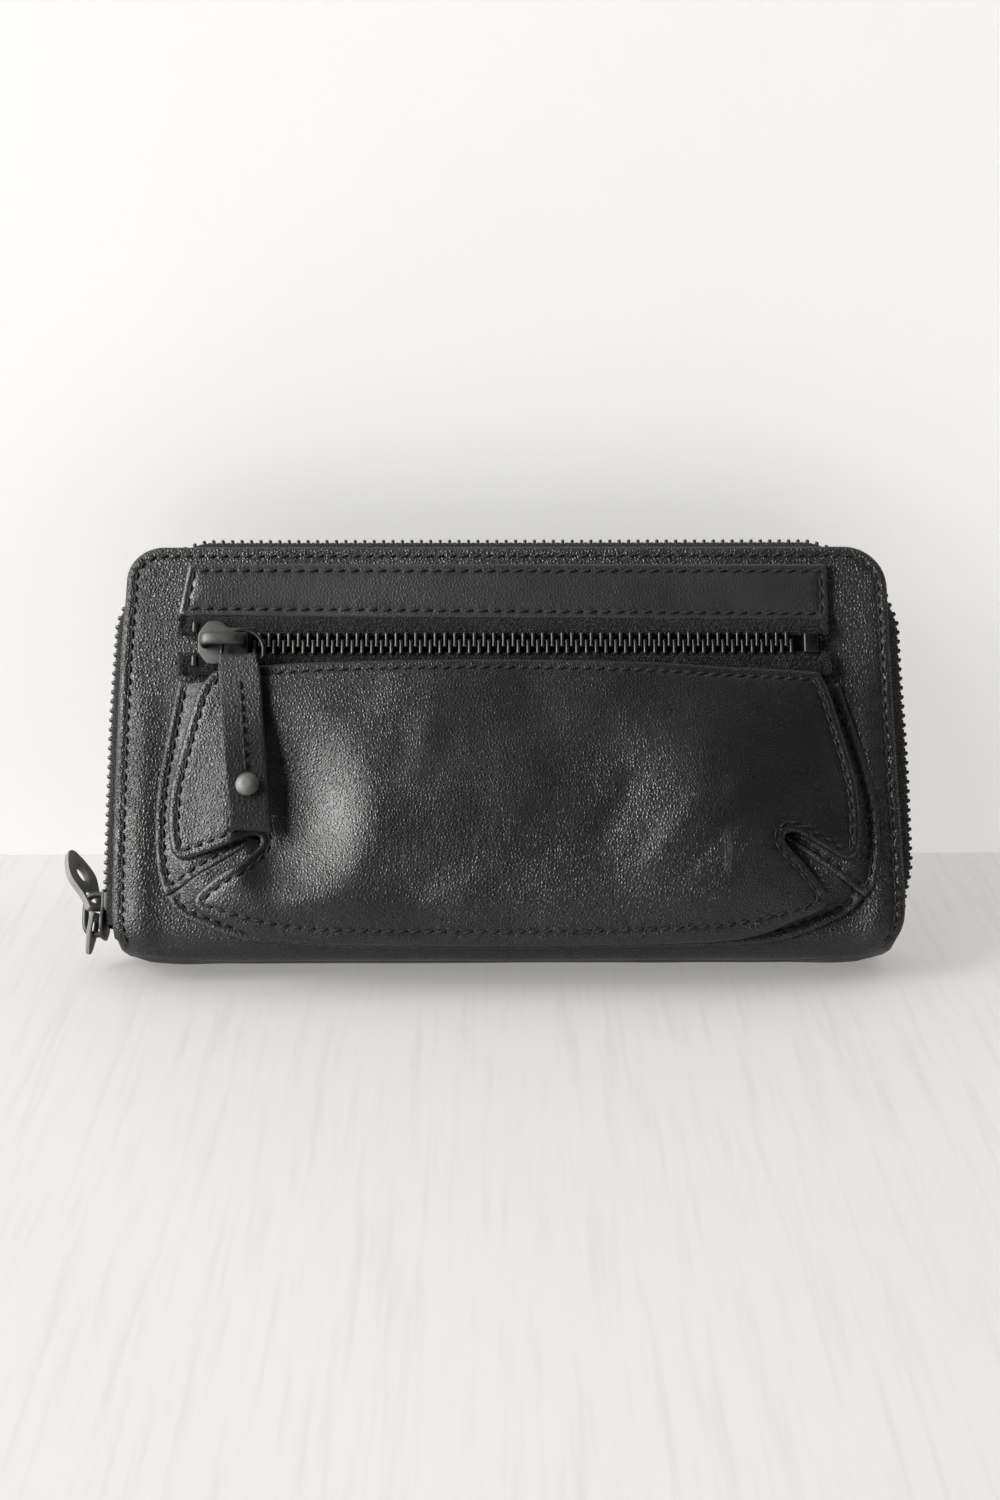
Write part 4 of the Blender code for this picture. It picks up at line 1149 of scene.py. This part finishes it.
GUSSET_FOOT = [
    (-86.1, 15.3), (-83.4, 11.2), (-79.8, 8.8), (-69.2, 5.2), (-59.5, 3.9), (-37.0, 2.6), (0.0, 2.3),
    (28.0, 2.6), (47.0, 2.9), (61.4, 3.5), (70.9, 4.9), (79.6, 7.8), (85.9, 11.0), (89.3, 14.8),
]
GUSSET_RIGHT = [
    (89.4, 14.6), (92.2, 18.0), (93.6, 26.0), (93.7, 35.0), (92.3, 44.0), (89.6, 54.4), (86.4, 64.6),
    (84.9, 70.0),
]


def panel_outline():
    parts = (PANEL_TOP, PANEL_LEFT, LEFT_NOTCH, PANEL_FOOT, RIGHT_NOTCH, PANEL_RIGHT)
    points = np.vstack([np.array(p) for p in parts])
    loop = np.vstack((points[-1:], points, points[:2]))
    steps = 6
    return smooth(loop, steps)[steps:-steps]


HOLLOW = np.array((-58.0, 34.5))  # the dent that the pull strap has pressed into the panel
SWELL = np.array((50.0, 38.0))  # the rise over whatever is carried on the right
HOLLOW_DEPTH = 4.9
SWELL_HEIGHT = 2.2
LEAST_RISE = 2.2  # the dent bottoms out here, above the cover


def pocket_dome(uv):
    """How far the panel's underside stands off the cover: puffed in the middle, tucked at the foot."""
    x, z = uv[:, 0] - 1.2, uv[:, 1]
    across = np.clip(1 - np.abs(x / 91.0) ** 3.2, 0, 1) * ramp(86.0 - np.abs(x), -4.0, 16.0)
    u = np.clip((z - 1.0) / 75.0, 0, 1)
    up = (u**0.62) * (1 - u) / 0.36
    h = 0.8 + 3.0 * np.clip(u / 0.16, 0, 1) ** 0.8 + 4.6 * across * up
    from_dent = uv - HOLLOW
    from_dent[:, 0] *= np.where(from_dent[:, 0] < 0, 2.0, 1.0)
    from_dent[:, 1] *= np.where(from_dent[:, 1] < 0, 1.05, 0.8)
    dent = 1 - ramp(np.linalg.norm(from_dent, axis=1), 4.0, 26.0)
    swell = 1 - ramp(np.linalg.norm((uv - SWELL) * (1.0, 0.8), axis=1), 5.0, 32.0)
    low = h - HOLLOW_DEPTH * dent + SWELL_HEIGHT * swell
    return LEAST_RISE + np.logaddexp(0, (low - LEAST_RISE) * 1.6) / 1.6


# Creases in the puffed panel: start, end, half-width and height (negative for a hollow).
CREASES = [
    ((30.0, 16.0), (52.0, 44.0), 3.0, 0.5), ((38.0, 14.0), (60.0, 38.0), 2.4, -0.45),
    ((20.0, 22.0), (34.0, 48.0), 3.6, -0.45), ((46.0, 30.0), (70.0, 52.0), 3.6, 0.5),
    ((-30.0, 12.0), (-6.0, 26.0), 4.0, -0.35), ((-46.0, 60.0), (-30.0, 68.0), 4.0, -0.3),
    ((66.0, 34.0), (80.0, 46.0), 3.0, -0.5), ((67.0, 28.0), (56.0, 24.0), 2.2, 0.4),
    ((-24.0, 40.0), (-18.0, 66.0), 4.0, 0.4), ((0.0, 60.0), (26.0, 66.0), 4.5, -0.3),
]


def panel_relief(uv):
    h = pocket_dome(uv)
    h += wavy(uv, 34.0, 3.0) * 0.4 + wavy(uv, 12.0, 8.0) * 0.14
    for start, end, width, height in CREASES:
        gap, s = near(uv, np.array((start, end)))
        full = math.dist(start, end)
        taper = np.clip(np.sin(math.pi * np.clip(s / full, 0, 1)), 0, 1)
        h += height * taper * np.exp(-((gap / width) ** 2))
    return h


PANEL_RIM = panel_outline()


def build_panel():
    pitch = 3.25
    seam = inset(PANEL_RIM, 2.5)
    skin = Skin(
        PANEL_RIM, wrapped(-1), 1.5, panel_relief, edge=1.0,
        seams=[(seam, True, pitch, 0.34)],
        hang=lambda uv: -(pocket_dome(uv) - 0.2),
    )
    panel = skin.mesh("pocket_panel_leather", PANEL, 1.7, rings=(1.5, 2.0, 3.0, 3.7, 4.8))
    fix(panel, FRONT_FOLD, "leather", "pocket_front_panel")
    sewing = thread("pocket_panel_stitching", [(skin, seam, True, pitch)], radius=0.32)
    fix(sewing, FRONT_FOLD, "leather")


MITRES = np.array(((-85.6, 14.9), (-62.0, 29.0))), np.array(((88.8, 14.3), (68.0, 29.2)))


def gusset_relief(outer, rolled):
    """Flat where it is sewn to the cover, then climbing to the panel's edge, with a rolled mitre."""

    def relief(uv):
        gap, _ = near(uv, outer)
        rise = 3.4 * np.clip((gap - 3.2) / 5.0, 0, 1) ** 1.2 + 0.08 * np.exp(-(((gap - 0.7) / 0.75) ** 2))
        for mitre in MITRES if rolled else ():
            rise += 0.4 * np.exp(-(((near(uv, mitre)[0] - 0.9) / 1.0) ** 2))
        return np.minimum(rise, pocket_dome(uv) - 1.5)

    return relief


def build_gussets():
    """Side strips and bottom strip, which meet on a mitre in each notch."""
    left_inner = [
        (-62.2, 29.2), (-70.0, 33.0), (-79.5, 38.0), (-79.5, 46.0), (-77.0, 58.0), (-75.0, 69.5),
    ]
    right_inner = [(80.0, 69.0), (80.6, 60.0), (83.0, 46.0), (82.4, 38.0), (76.0, 33.5), (68.0, 29.4)]
    foot_inner = [
        (68.6, 29.8), (63.5, 21.0), (56.0, 14.0), (30.0, 12.0), (0.0, 12.0), (-30.0, 12.0),
        (-52.0, 14.0), (-58.0, 21.0), (-62.6, 29.7),
    ]
    pieces = (
        ("pocket_gusset_left", GUSSET_LEFT, left_inner, "pocket_side_gusset_left"),
        ("pocket_gusset_right", GUSSET_RIGHT, right_inner, "pocket_side_gusset_right"),
        ("pocket_gusset_foot", GUSSET_FOOT, foot_inner, "pocket_bottom_gusset"),
    )
    pitch = 3.2
    for name, outer, inner, node in pieces:
        rail = smooth(outer, 8)
        sewn = {
            "pocket_side_gusset_left": np.vstack((rail, inner[:1])),
            "pocket_side_gusset_right": np.vstack((inner[-1:], rail)),
        }.get(node, rail)
        outline = np.vstack((rail, smooth(inner, 6)))
        seam = inset(outline, 2.1)
        gap, _ = near(seam, sewn)
        seam = seam[gap < 2.3]
        jump = np.linalg.norm(np.roll(seam, 1, axis=0) - seam, axis=1)
        seam = np.roll(seam, -np.argmax(jump), axis=0)
        skin = Skin(
            outline, wrapped(-1), 1.45, gusset_relief(rail, "side" in node), edge=0.6,
            seams=[(seam, False, pitch, 0.4)],
            hang=lambda uv: np.full(len(uv), -0.05),
        )
        strip = skin.mesh(name + "_leather", GRAINED, 1.8, rings=(1.1, 1.6, 2.6, 3.2))
        fix(strip, FRONT_FOLD, "leather", node)
        sewing = thread(name + "_stitching", [(skin, seam, False, pitch)])
        fix(sewing, FRONT_FOLD, "leather")


def build_strip():
    """The sewn leather strip above the pocket's zip."""
    low, high = span("pocket_top_strip")
    foot = low.z - 0.7
    corners = np.array(
        [(-85.2, foot + 1.5), (82.6, foot - 0.1), (82.8, high.z - 0.4), (-82.8, high.z - 0.1)]
    )
    outline = resample(corners, 0.8, closed=True)
    pitch = 3.5
    seam = inset(outline, 2.1)

    def crown(uv):
        gap, _ = near(uv, outline, closed=True)
        return 0.35 * np.clip(gap / 6.0, 0, 1) ** 0.6 + wavy(uv, 30.0, 11.0) * 0.16

    seams = [(seam, True, pitch, 0.4)]
    skin = Skin(outline, Flat(-FACE - 0.55, -1).at, 1.45, crown, edge=0.85, seams=seams)
    strip = skin.mesh("pocket_strip_leather", TRIM, 2.0, rings=(1.4, 2.6, 3.3))
    fix(strip, "front_half", "leather", "pocket_top_strip")
    sewing = thread("pocket_strip_stitching", [(skin, seam, True, pitch)])
    fix(sewing, "front_half", "leather")


def build_pocket_zip():
    low, high = span("pocket_zip_teeth_upper")
    count = int((high.x - low.x - 1.0) / PITCH)
    for label, sign, first in (("upper", 1, low.x + 0.8), ("lower", -1, low.x + 0.8 + PITCH / 2)):

        def chain(s, across, through):
            return np.column_stack((s, POCKET_CHAIN_Y - through, POCKET_ZIP_Z + sign * across))

        row = teeth_row(f"pocket_teeth_{label}", count, first, chain, sign > 0, TEETH)
        fix(row, "front_half", "metal", f"pocket_zip_teeth_{label}")
        build_pocket_tape(label, sign)
    build_pocket_stops()


def build_pocket_tape(label, sign):
    """Woven tape beside the chain, its loose ends crumpled."""
    ends = (-84.5, 83.5)
    s = np.arange(ends[0], ends[1], 0.8)
    across = np.array((2.2, 3.0, 4.0, 5.2, 6.4, 8.2))
    rise = np.array({1: (0.0, 0.1, 0.05, -0.2, -0.6, -1.3), -1: (0.0, 0.1, 0.1, 0.05, 0.0, -0.1)}[sign])
    sections, along, width = [], [], []
    for x in s:
        loose = max(0.0, 1 - min(x - ends[0], ends[1] - x) / 5.0)
        ragged = 0.9 * loose * noise.noise(Vector((x * 0.9, sign * 3.0, 1.0)))
        curl = 0.8 * loose * math.sin(x * 1.7 + sign)
        y = POCKET_CHAIN_Y - rise - curl * np.clip((across - 3) / 3, 0, 1) + 0.1 * math.sin(x * 0.5)
        z = POCKET_ZIP_Z + sign * (across + ragged)
        front = np.column_stack((np.full(len(across), x), y - 0.25, z))
        back = np.column_stack((np.full(len(across), x), y + 0.25, z))[::-1]
        sections.append(np.vstack((front, back)))
        along += [x] * (2 * len(across))
        width += list(across) + list(across[::-1])
    tape = loft(f"pocket_tape_{label}", sections, TAPE, {"along": along, "across": width})
    fix(tape, "front_half", "tape", f"pocket_zip_tape_{label}")


def build_pocket_stops():
    for label in ("top_stop_upper", "top_stop_lower", "bottom_stop"):
        low, high = span(f"pocket_zip_{label}")
        size, middle = high - low, (high + low) / 2
        deep = max(size.y, 1.7)
        half_x, half_z = max(size.x / 2, 0.8), size.z / 2
        box = [(-half_x, -half_z), (half_x, -half_z), (half_x, half_z), (-half_x, half_z)]
        stop = plate(f"pocket_{label}_clamp", [box], deep, STOP_METAL, 0.45)
        middle.y = POCKET_CHAIN_Y - 0.1
        stop.matrix_world = Matrix.Translation(middle * MM) @ turns((90, "X"))
        fix(stop, "front_half", "metal", f"pocket_zip_{label}")


# ------------------------------------------------------------------ inside


def build_inside():
    for name, node in frame["nodes"].items():
        finish = None
        if "card_panel" in name:
            finish = INNER
        elif "lining" in name or name.startswith("coin_pocket"):
            finish = LINING
        elif "stiffener" in name:
            finish = BOARD
        elif "tape" in name:
            finish = TAPE
        elif "coil" in name:
            finish = COIL
        elif name.startswith(("coin_slider", "coin_pull")):
            finish = GUNMETAL
        if finish:
            node.data.materials.clear()
            node.data.materials.append(finish)
    build_card_stitching()
    build_side_gussets()
    build_coin_zip()


def build_card_stitching():
    """A seam under the top edge of each card panel, and the seam down the middle of the rows."""
    for label, sign in (("front", -1), ("back", 1)):
        paths = []
        for i in range(4):
            low, high = span(f"{label}_card_panel_{i + 1}")
            level = low.y if sign > 0 else high.y
            face = Flat(level, -sign)
            edge = high.z - 1.8
            paths.append((face, np.array(((-82.0, edge), (82.0, edge))), False, 3.0))
            if i == 3:
                paths.append((face, np.array(((0.0, low.z + 1), (0.0, edge - 2))), False, 3.0))
        sewing = thread(f"{label}_card_stitching", paths, radius=0.18)
        fix(sewing, f"{label}_half", "leather")


FOLDED = [
    (91.0, 8.9), (90.4, 7.6), (88.6, 6.3), (84.0, 5.7), (79.0, 5.2), (77.2, 4.5), (79.0, 3.9),
    (84.0, 3.5), (86.6, 2.9),
]


def build_side_gussets():
    """Folded leather at each side, from the cover's edge in to a fold and back out to the coin pocket."""
    for label, sign in (("front", -1), ("back", 1)):
        for side_label, side in (("left", -1), ("right", 1)):
            line = smooth(FOLDED, 6)
            normal = normals(line) * 0.22
            ring = np.vstack((line + normal, (line - normal)[::-1]))
            sections = []
            for z in np.linspace(12.5, 86.0, 26):
                shrink = 1 - 0.06 * math.cos((z - 12.5) / 73.5 * math.pi)
                x = side * (91.0 - (91.0 - ring[:, 0]) * shrink)
                sections.append(np.column_stack((x, sign * ring[:, 1], np.full(len(ring), z))))
            fold = loft(f"side_gusset_{label}_{side_label}", sections, INNER)
            leaves = f"gusset_{label}_{side_label}"
            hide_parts(leaves + "_cover_leaf", leaves + "_coin_leaf")
            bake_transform(fold)


COIL_PITCH = 1.3
COIN_SCALE = 0.76  # the coin slider beside the main one


def build_coin_zip():
    for label, sign in (("front", -1), ("back", 1)):
        low, high = span(f"coin_zip_coil_{label}")
        coils = int((high.x - low.x) / COIL_PITCH)
        t = np.linspace(0, coils, coils * 12 + 1)
        x = low.x + t / coils * (high.x - low.x)
        y = sign * (1.1 + 0.72 * np.cos(2 * math.pi * t))
        z = (low.z + high.z) / 2 + 0.62 * np.sin(2 * math.pi * t)
        coil = tube(f"coin_coil_{label}", np.column_stack((x, y, z)), 0.27, COIL, sides=6)
        fix(coil, "core", "plastic", f"coin_zip_coil_{label}")
    low, high = span("coin_slider_body")
    centre = (low.x + high.x) / 2, 0.0, span("coin_zip_coil_front")[0].z + 0.9
    body = slider("coin_slider_metal", MOUTH_LEFT_OUT_UP, centre, COIN_SCALE)
    fix(body, "coin_slider", "metal", "coin_slider_body")
    hinge = Vector(joint("coin_pull_swing")["pos_m"])
    tab = plate("coin_pull_metal", [pull_shape(16.0, 3.1, 2.2), round_window(*EYE)], 1.2, GUNMETAL, 0.4)
    tab.matrix_world = Matrix.Translation(hinge) @ turns((-90, "Z"))
    fix(tab, "coin_pull", "metal", "coin_pull_tab")


# ------------------------------------------------------------------ stage, light and camera

LEAN = math.radians(30.0)  # the wallet leans back on a wall, so the stage is tilted round it
UP = Vector((0.0, -math.sin(LEAN), math.cos(LEAN)))
INTO_WALL = Vector((0.0, math.cos(LEAN), math.sin(LEAN)))
PITCH_DOWN = math.radians(18.53)
YAW = math.radians(0.36)
CAMERA_BACK, CAMERA_UP, CAMERA_LEFT = 477.6, 214.6, 5.4  # from the wallet's front foot
FRONT_FOOT = Vector((0.0, -FACE, 0.0))
CAMERA_AT = FRONT_FOOT - Vector((CAMERA_LEFT, 0, 0)) - INTO_WALL * CAMERA_BACK + UP * CAMERA_UP
WALL_GAP = 94.0  # from the wallet's front foot to the foot of the wall
STAGE_REACH = 1500
WALL_HALF_HEIGHT = 900
LEVEL_REACH = 9000
BEHIND_CAMERA = 0.28, -0.94, 0.17


def stage_material(name, planks, leaning, glow):
    """Pale matt surface. The leaning stage shows only to the main camera, the level floor to the others."""
    n = Nodes.material(name)
    where = n.add("VectorTransform", vector_type="POINT", convert_from="CAMERA", convert_to="WORLD")
    where.inputs["Vector"].default_value = (0, 0, 0)
    gap = n.add("VectorMath", operation="DISTANCE")
    n.link(where.outputs[0], gap.inputs[0])
    gap.inputs[1].default_value = CAMERA_AT * MM
    main_view = n.math("LESS_THAN", gap.outputs["Value"], 0.002)
    shown = main_view if leaning else n.math("SUBTRACT", 1.0, main_view)
    if planks:
        streak = n.noise(n.place((1.0, 0.05, 0.05), (LEAN, 0, 0)), 420.0, 4.0)
        boards = n.spread(streak, 0.45, 0.8)
        colour = n.mix(boards, (0.68, 0.665, 0.65), (0.61, 0.59, 0.57))
    else:
        colour = n.mix(n.noise(n.place(), 12.0), (0.84, 0.835, 0.825), (0.80, 0.795, 0.785))
    n.finish(colour, 0.75, Emission_Color=(1.0, 0.99, 0.975, 1.0), Emission_Strength=glow)
    clear = n.add("BsdfTransparent")
    blend = n.add("MixShader")
    n.link(shown, blend.inputs[0])
    n.link(clear.outputs[0], blend.inputs[1])
    n.link(n.shader.outputs[0], blend.inputs[2])
    n.link(blend.outputs[0], n.tree.nodes["Material Output"].inputs["Surface"])
    return n.owner


def stage_plane(name, centre, across, along, material):
    corners = [centre + across * a + along * b for a, b in ((-1, -1), (1, -1), (1, 1), (-1, 1))]
    plane = add(name, [tuple(c) for c in corners], [(0, 1, 2, 3)], material)
    return plane


def build_stage():
    foot = Vector((0.0, FLAT, SPINE_RADIUS)) - UP * SPINE_RADIUS  # where the leaning spine touches
    wall_foot = foot + INTO_WALL * ((FRONT_FOOT - foot).dot(INTO_WALL) + WALL_GAP)
    wide, deep = Vector((STAGE_REACH, 0, 0)), INTO_WALL * STAGE_REACH
    level_sides = Vector((LEVEL_REACH, 0, 0)), Vector((0, LEVEL_REACH, 0))
    boards = stage_material("pale_boards", True, True, 0.27)
    wall = stage_material("pale_wall", False, True, 0.39)
    level = stage_material("level_floor", False, False, 0.05)
    return [
        stage_plane("leaning_floor", wall_foot - deep, wide, deep, boards),
        stage_plane("leaning_wall", wall_foot + UP * WALL_HALF_HEIGHT, wide, UP * WALL_HALF_HEIGHT, wall),
        stage_plane("level_floor_sheet", Vector((0, 0, -0.2)), *level_sides, level),
    ]


def area_light(name, at, size, radiance, tint, skip=()):
    """A soft panel aimed at the wallet. It doesn't light the objects in `skip`."""
    data = bpy.data.lights.new(name, "AREA")
    data.shape = "RECTANGLE"
    data.size, data.size_y = size
    data.energy = radiance * math.pi * size[0] * size[1]
    data.color = tint
    lamp = bpy.data.objects.new(name, data)
    SCENE.collection.objects.link(lamp)
    lamp.location = Vector(at)
    lamp.rotation_euler = (Vector((0, 0, 0.05)) - lamp.location).to_track_quat("-Z", "Y").to_euler()
    if skip:
        group = bpy.data.collections.new(name + "_skips")
        for obj in skip:
            group.objects.link(obj)
        for member in group.collection_objects:
            member.light_linking.link_state = "EXCLUDE"
        lamp.light_linking.receiver_collection = group


def build_light(stage):
    """A window to the left, soft daylight, and a pale room that is darker behind the camera."""
    area_light("window", (-0.93, -0.66, 0.26), (0.60, 0.80), 20.5, (1.0, 0.99, 0.975), stage)
    area_light("sidelight", (-0.95, -0.66, 0.45), (0.45, 0.60), 6.0, (1.0, 0.995, 0.985))
    SCENE.world = bpy.data.worlds.new("studio")
    n = Nodes(SCENE.world, "Background")
    facing = n.add("VectorMath", operation="DOT_PRODUCT")
    n.link(n.add("TexCoord").outputs["Generated"], facing.inputs[0])
    facing.inputs[1].default_value = BEHIND_CAMERA
    room = n.spread(facing.outputs["Value"], 0.1, 0.93, 1.4, 0.10)
    ray = n.add("LightPath")
    dimmed = n.math("MULTIPLY_ADD", ray.outputs["Is Glossy Ray"], -0.5, room)
    n.put(n.shader.inputs["Color"], (0.985, 0.99, 1.0, 1.0))
    n.put(n.shader.inputs["Strength"], n.math("MAXIMUM", dimmed, ray.outputs["Is Camera Ray"]))
    SCENE.view_settings.view_transform = "Standard"


def build_camera():
    data = bpy.data.cameras.new("camera")
    data.lens = 50.0
    data.sensor_width = 36.0
    camera = bpy.data.objects.new("camera", data)
    SCENE.collection.objects.link(camera)
    level = INTO_WALL * math.cos(YAW) + Vector((math.sin(YAW), 0, 0))
    aim = level * math.cos(PITCH_DOWN) - UP * math.sin(PITCH_DOWN)
    head = level * math.sin(PITCH_DOWN) + UP * math.cos(PITCH_DOWN)
    side = aim.cross(head)
    turn = Matrix((side, head, -aim)).transposed().to_4x4()
    camera.matrix_world = Matrix.Translation(CAMERA_AT * MM) @ turn
    SCENE.camera = camera


build_cover("front", -1, FRONT_FOLD, 0.7)
build_cover("back", 1, BACK_FOLD, 21.3)
build_main_zip()
build_end_stop()
build_main_slider()
build_strip()
build_pocket_zip()
build_panel()
build_gussets()
build_pocket_slider()
build_strap()
build_inside()
build_light(build_stage())
build_camera()
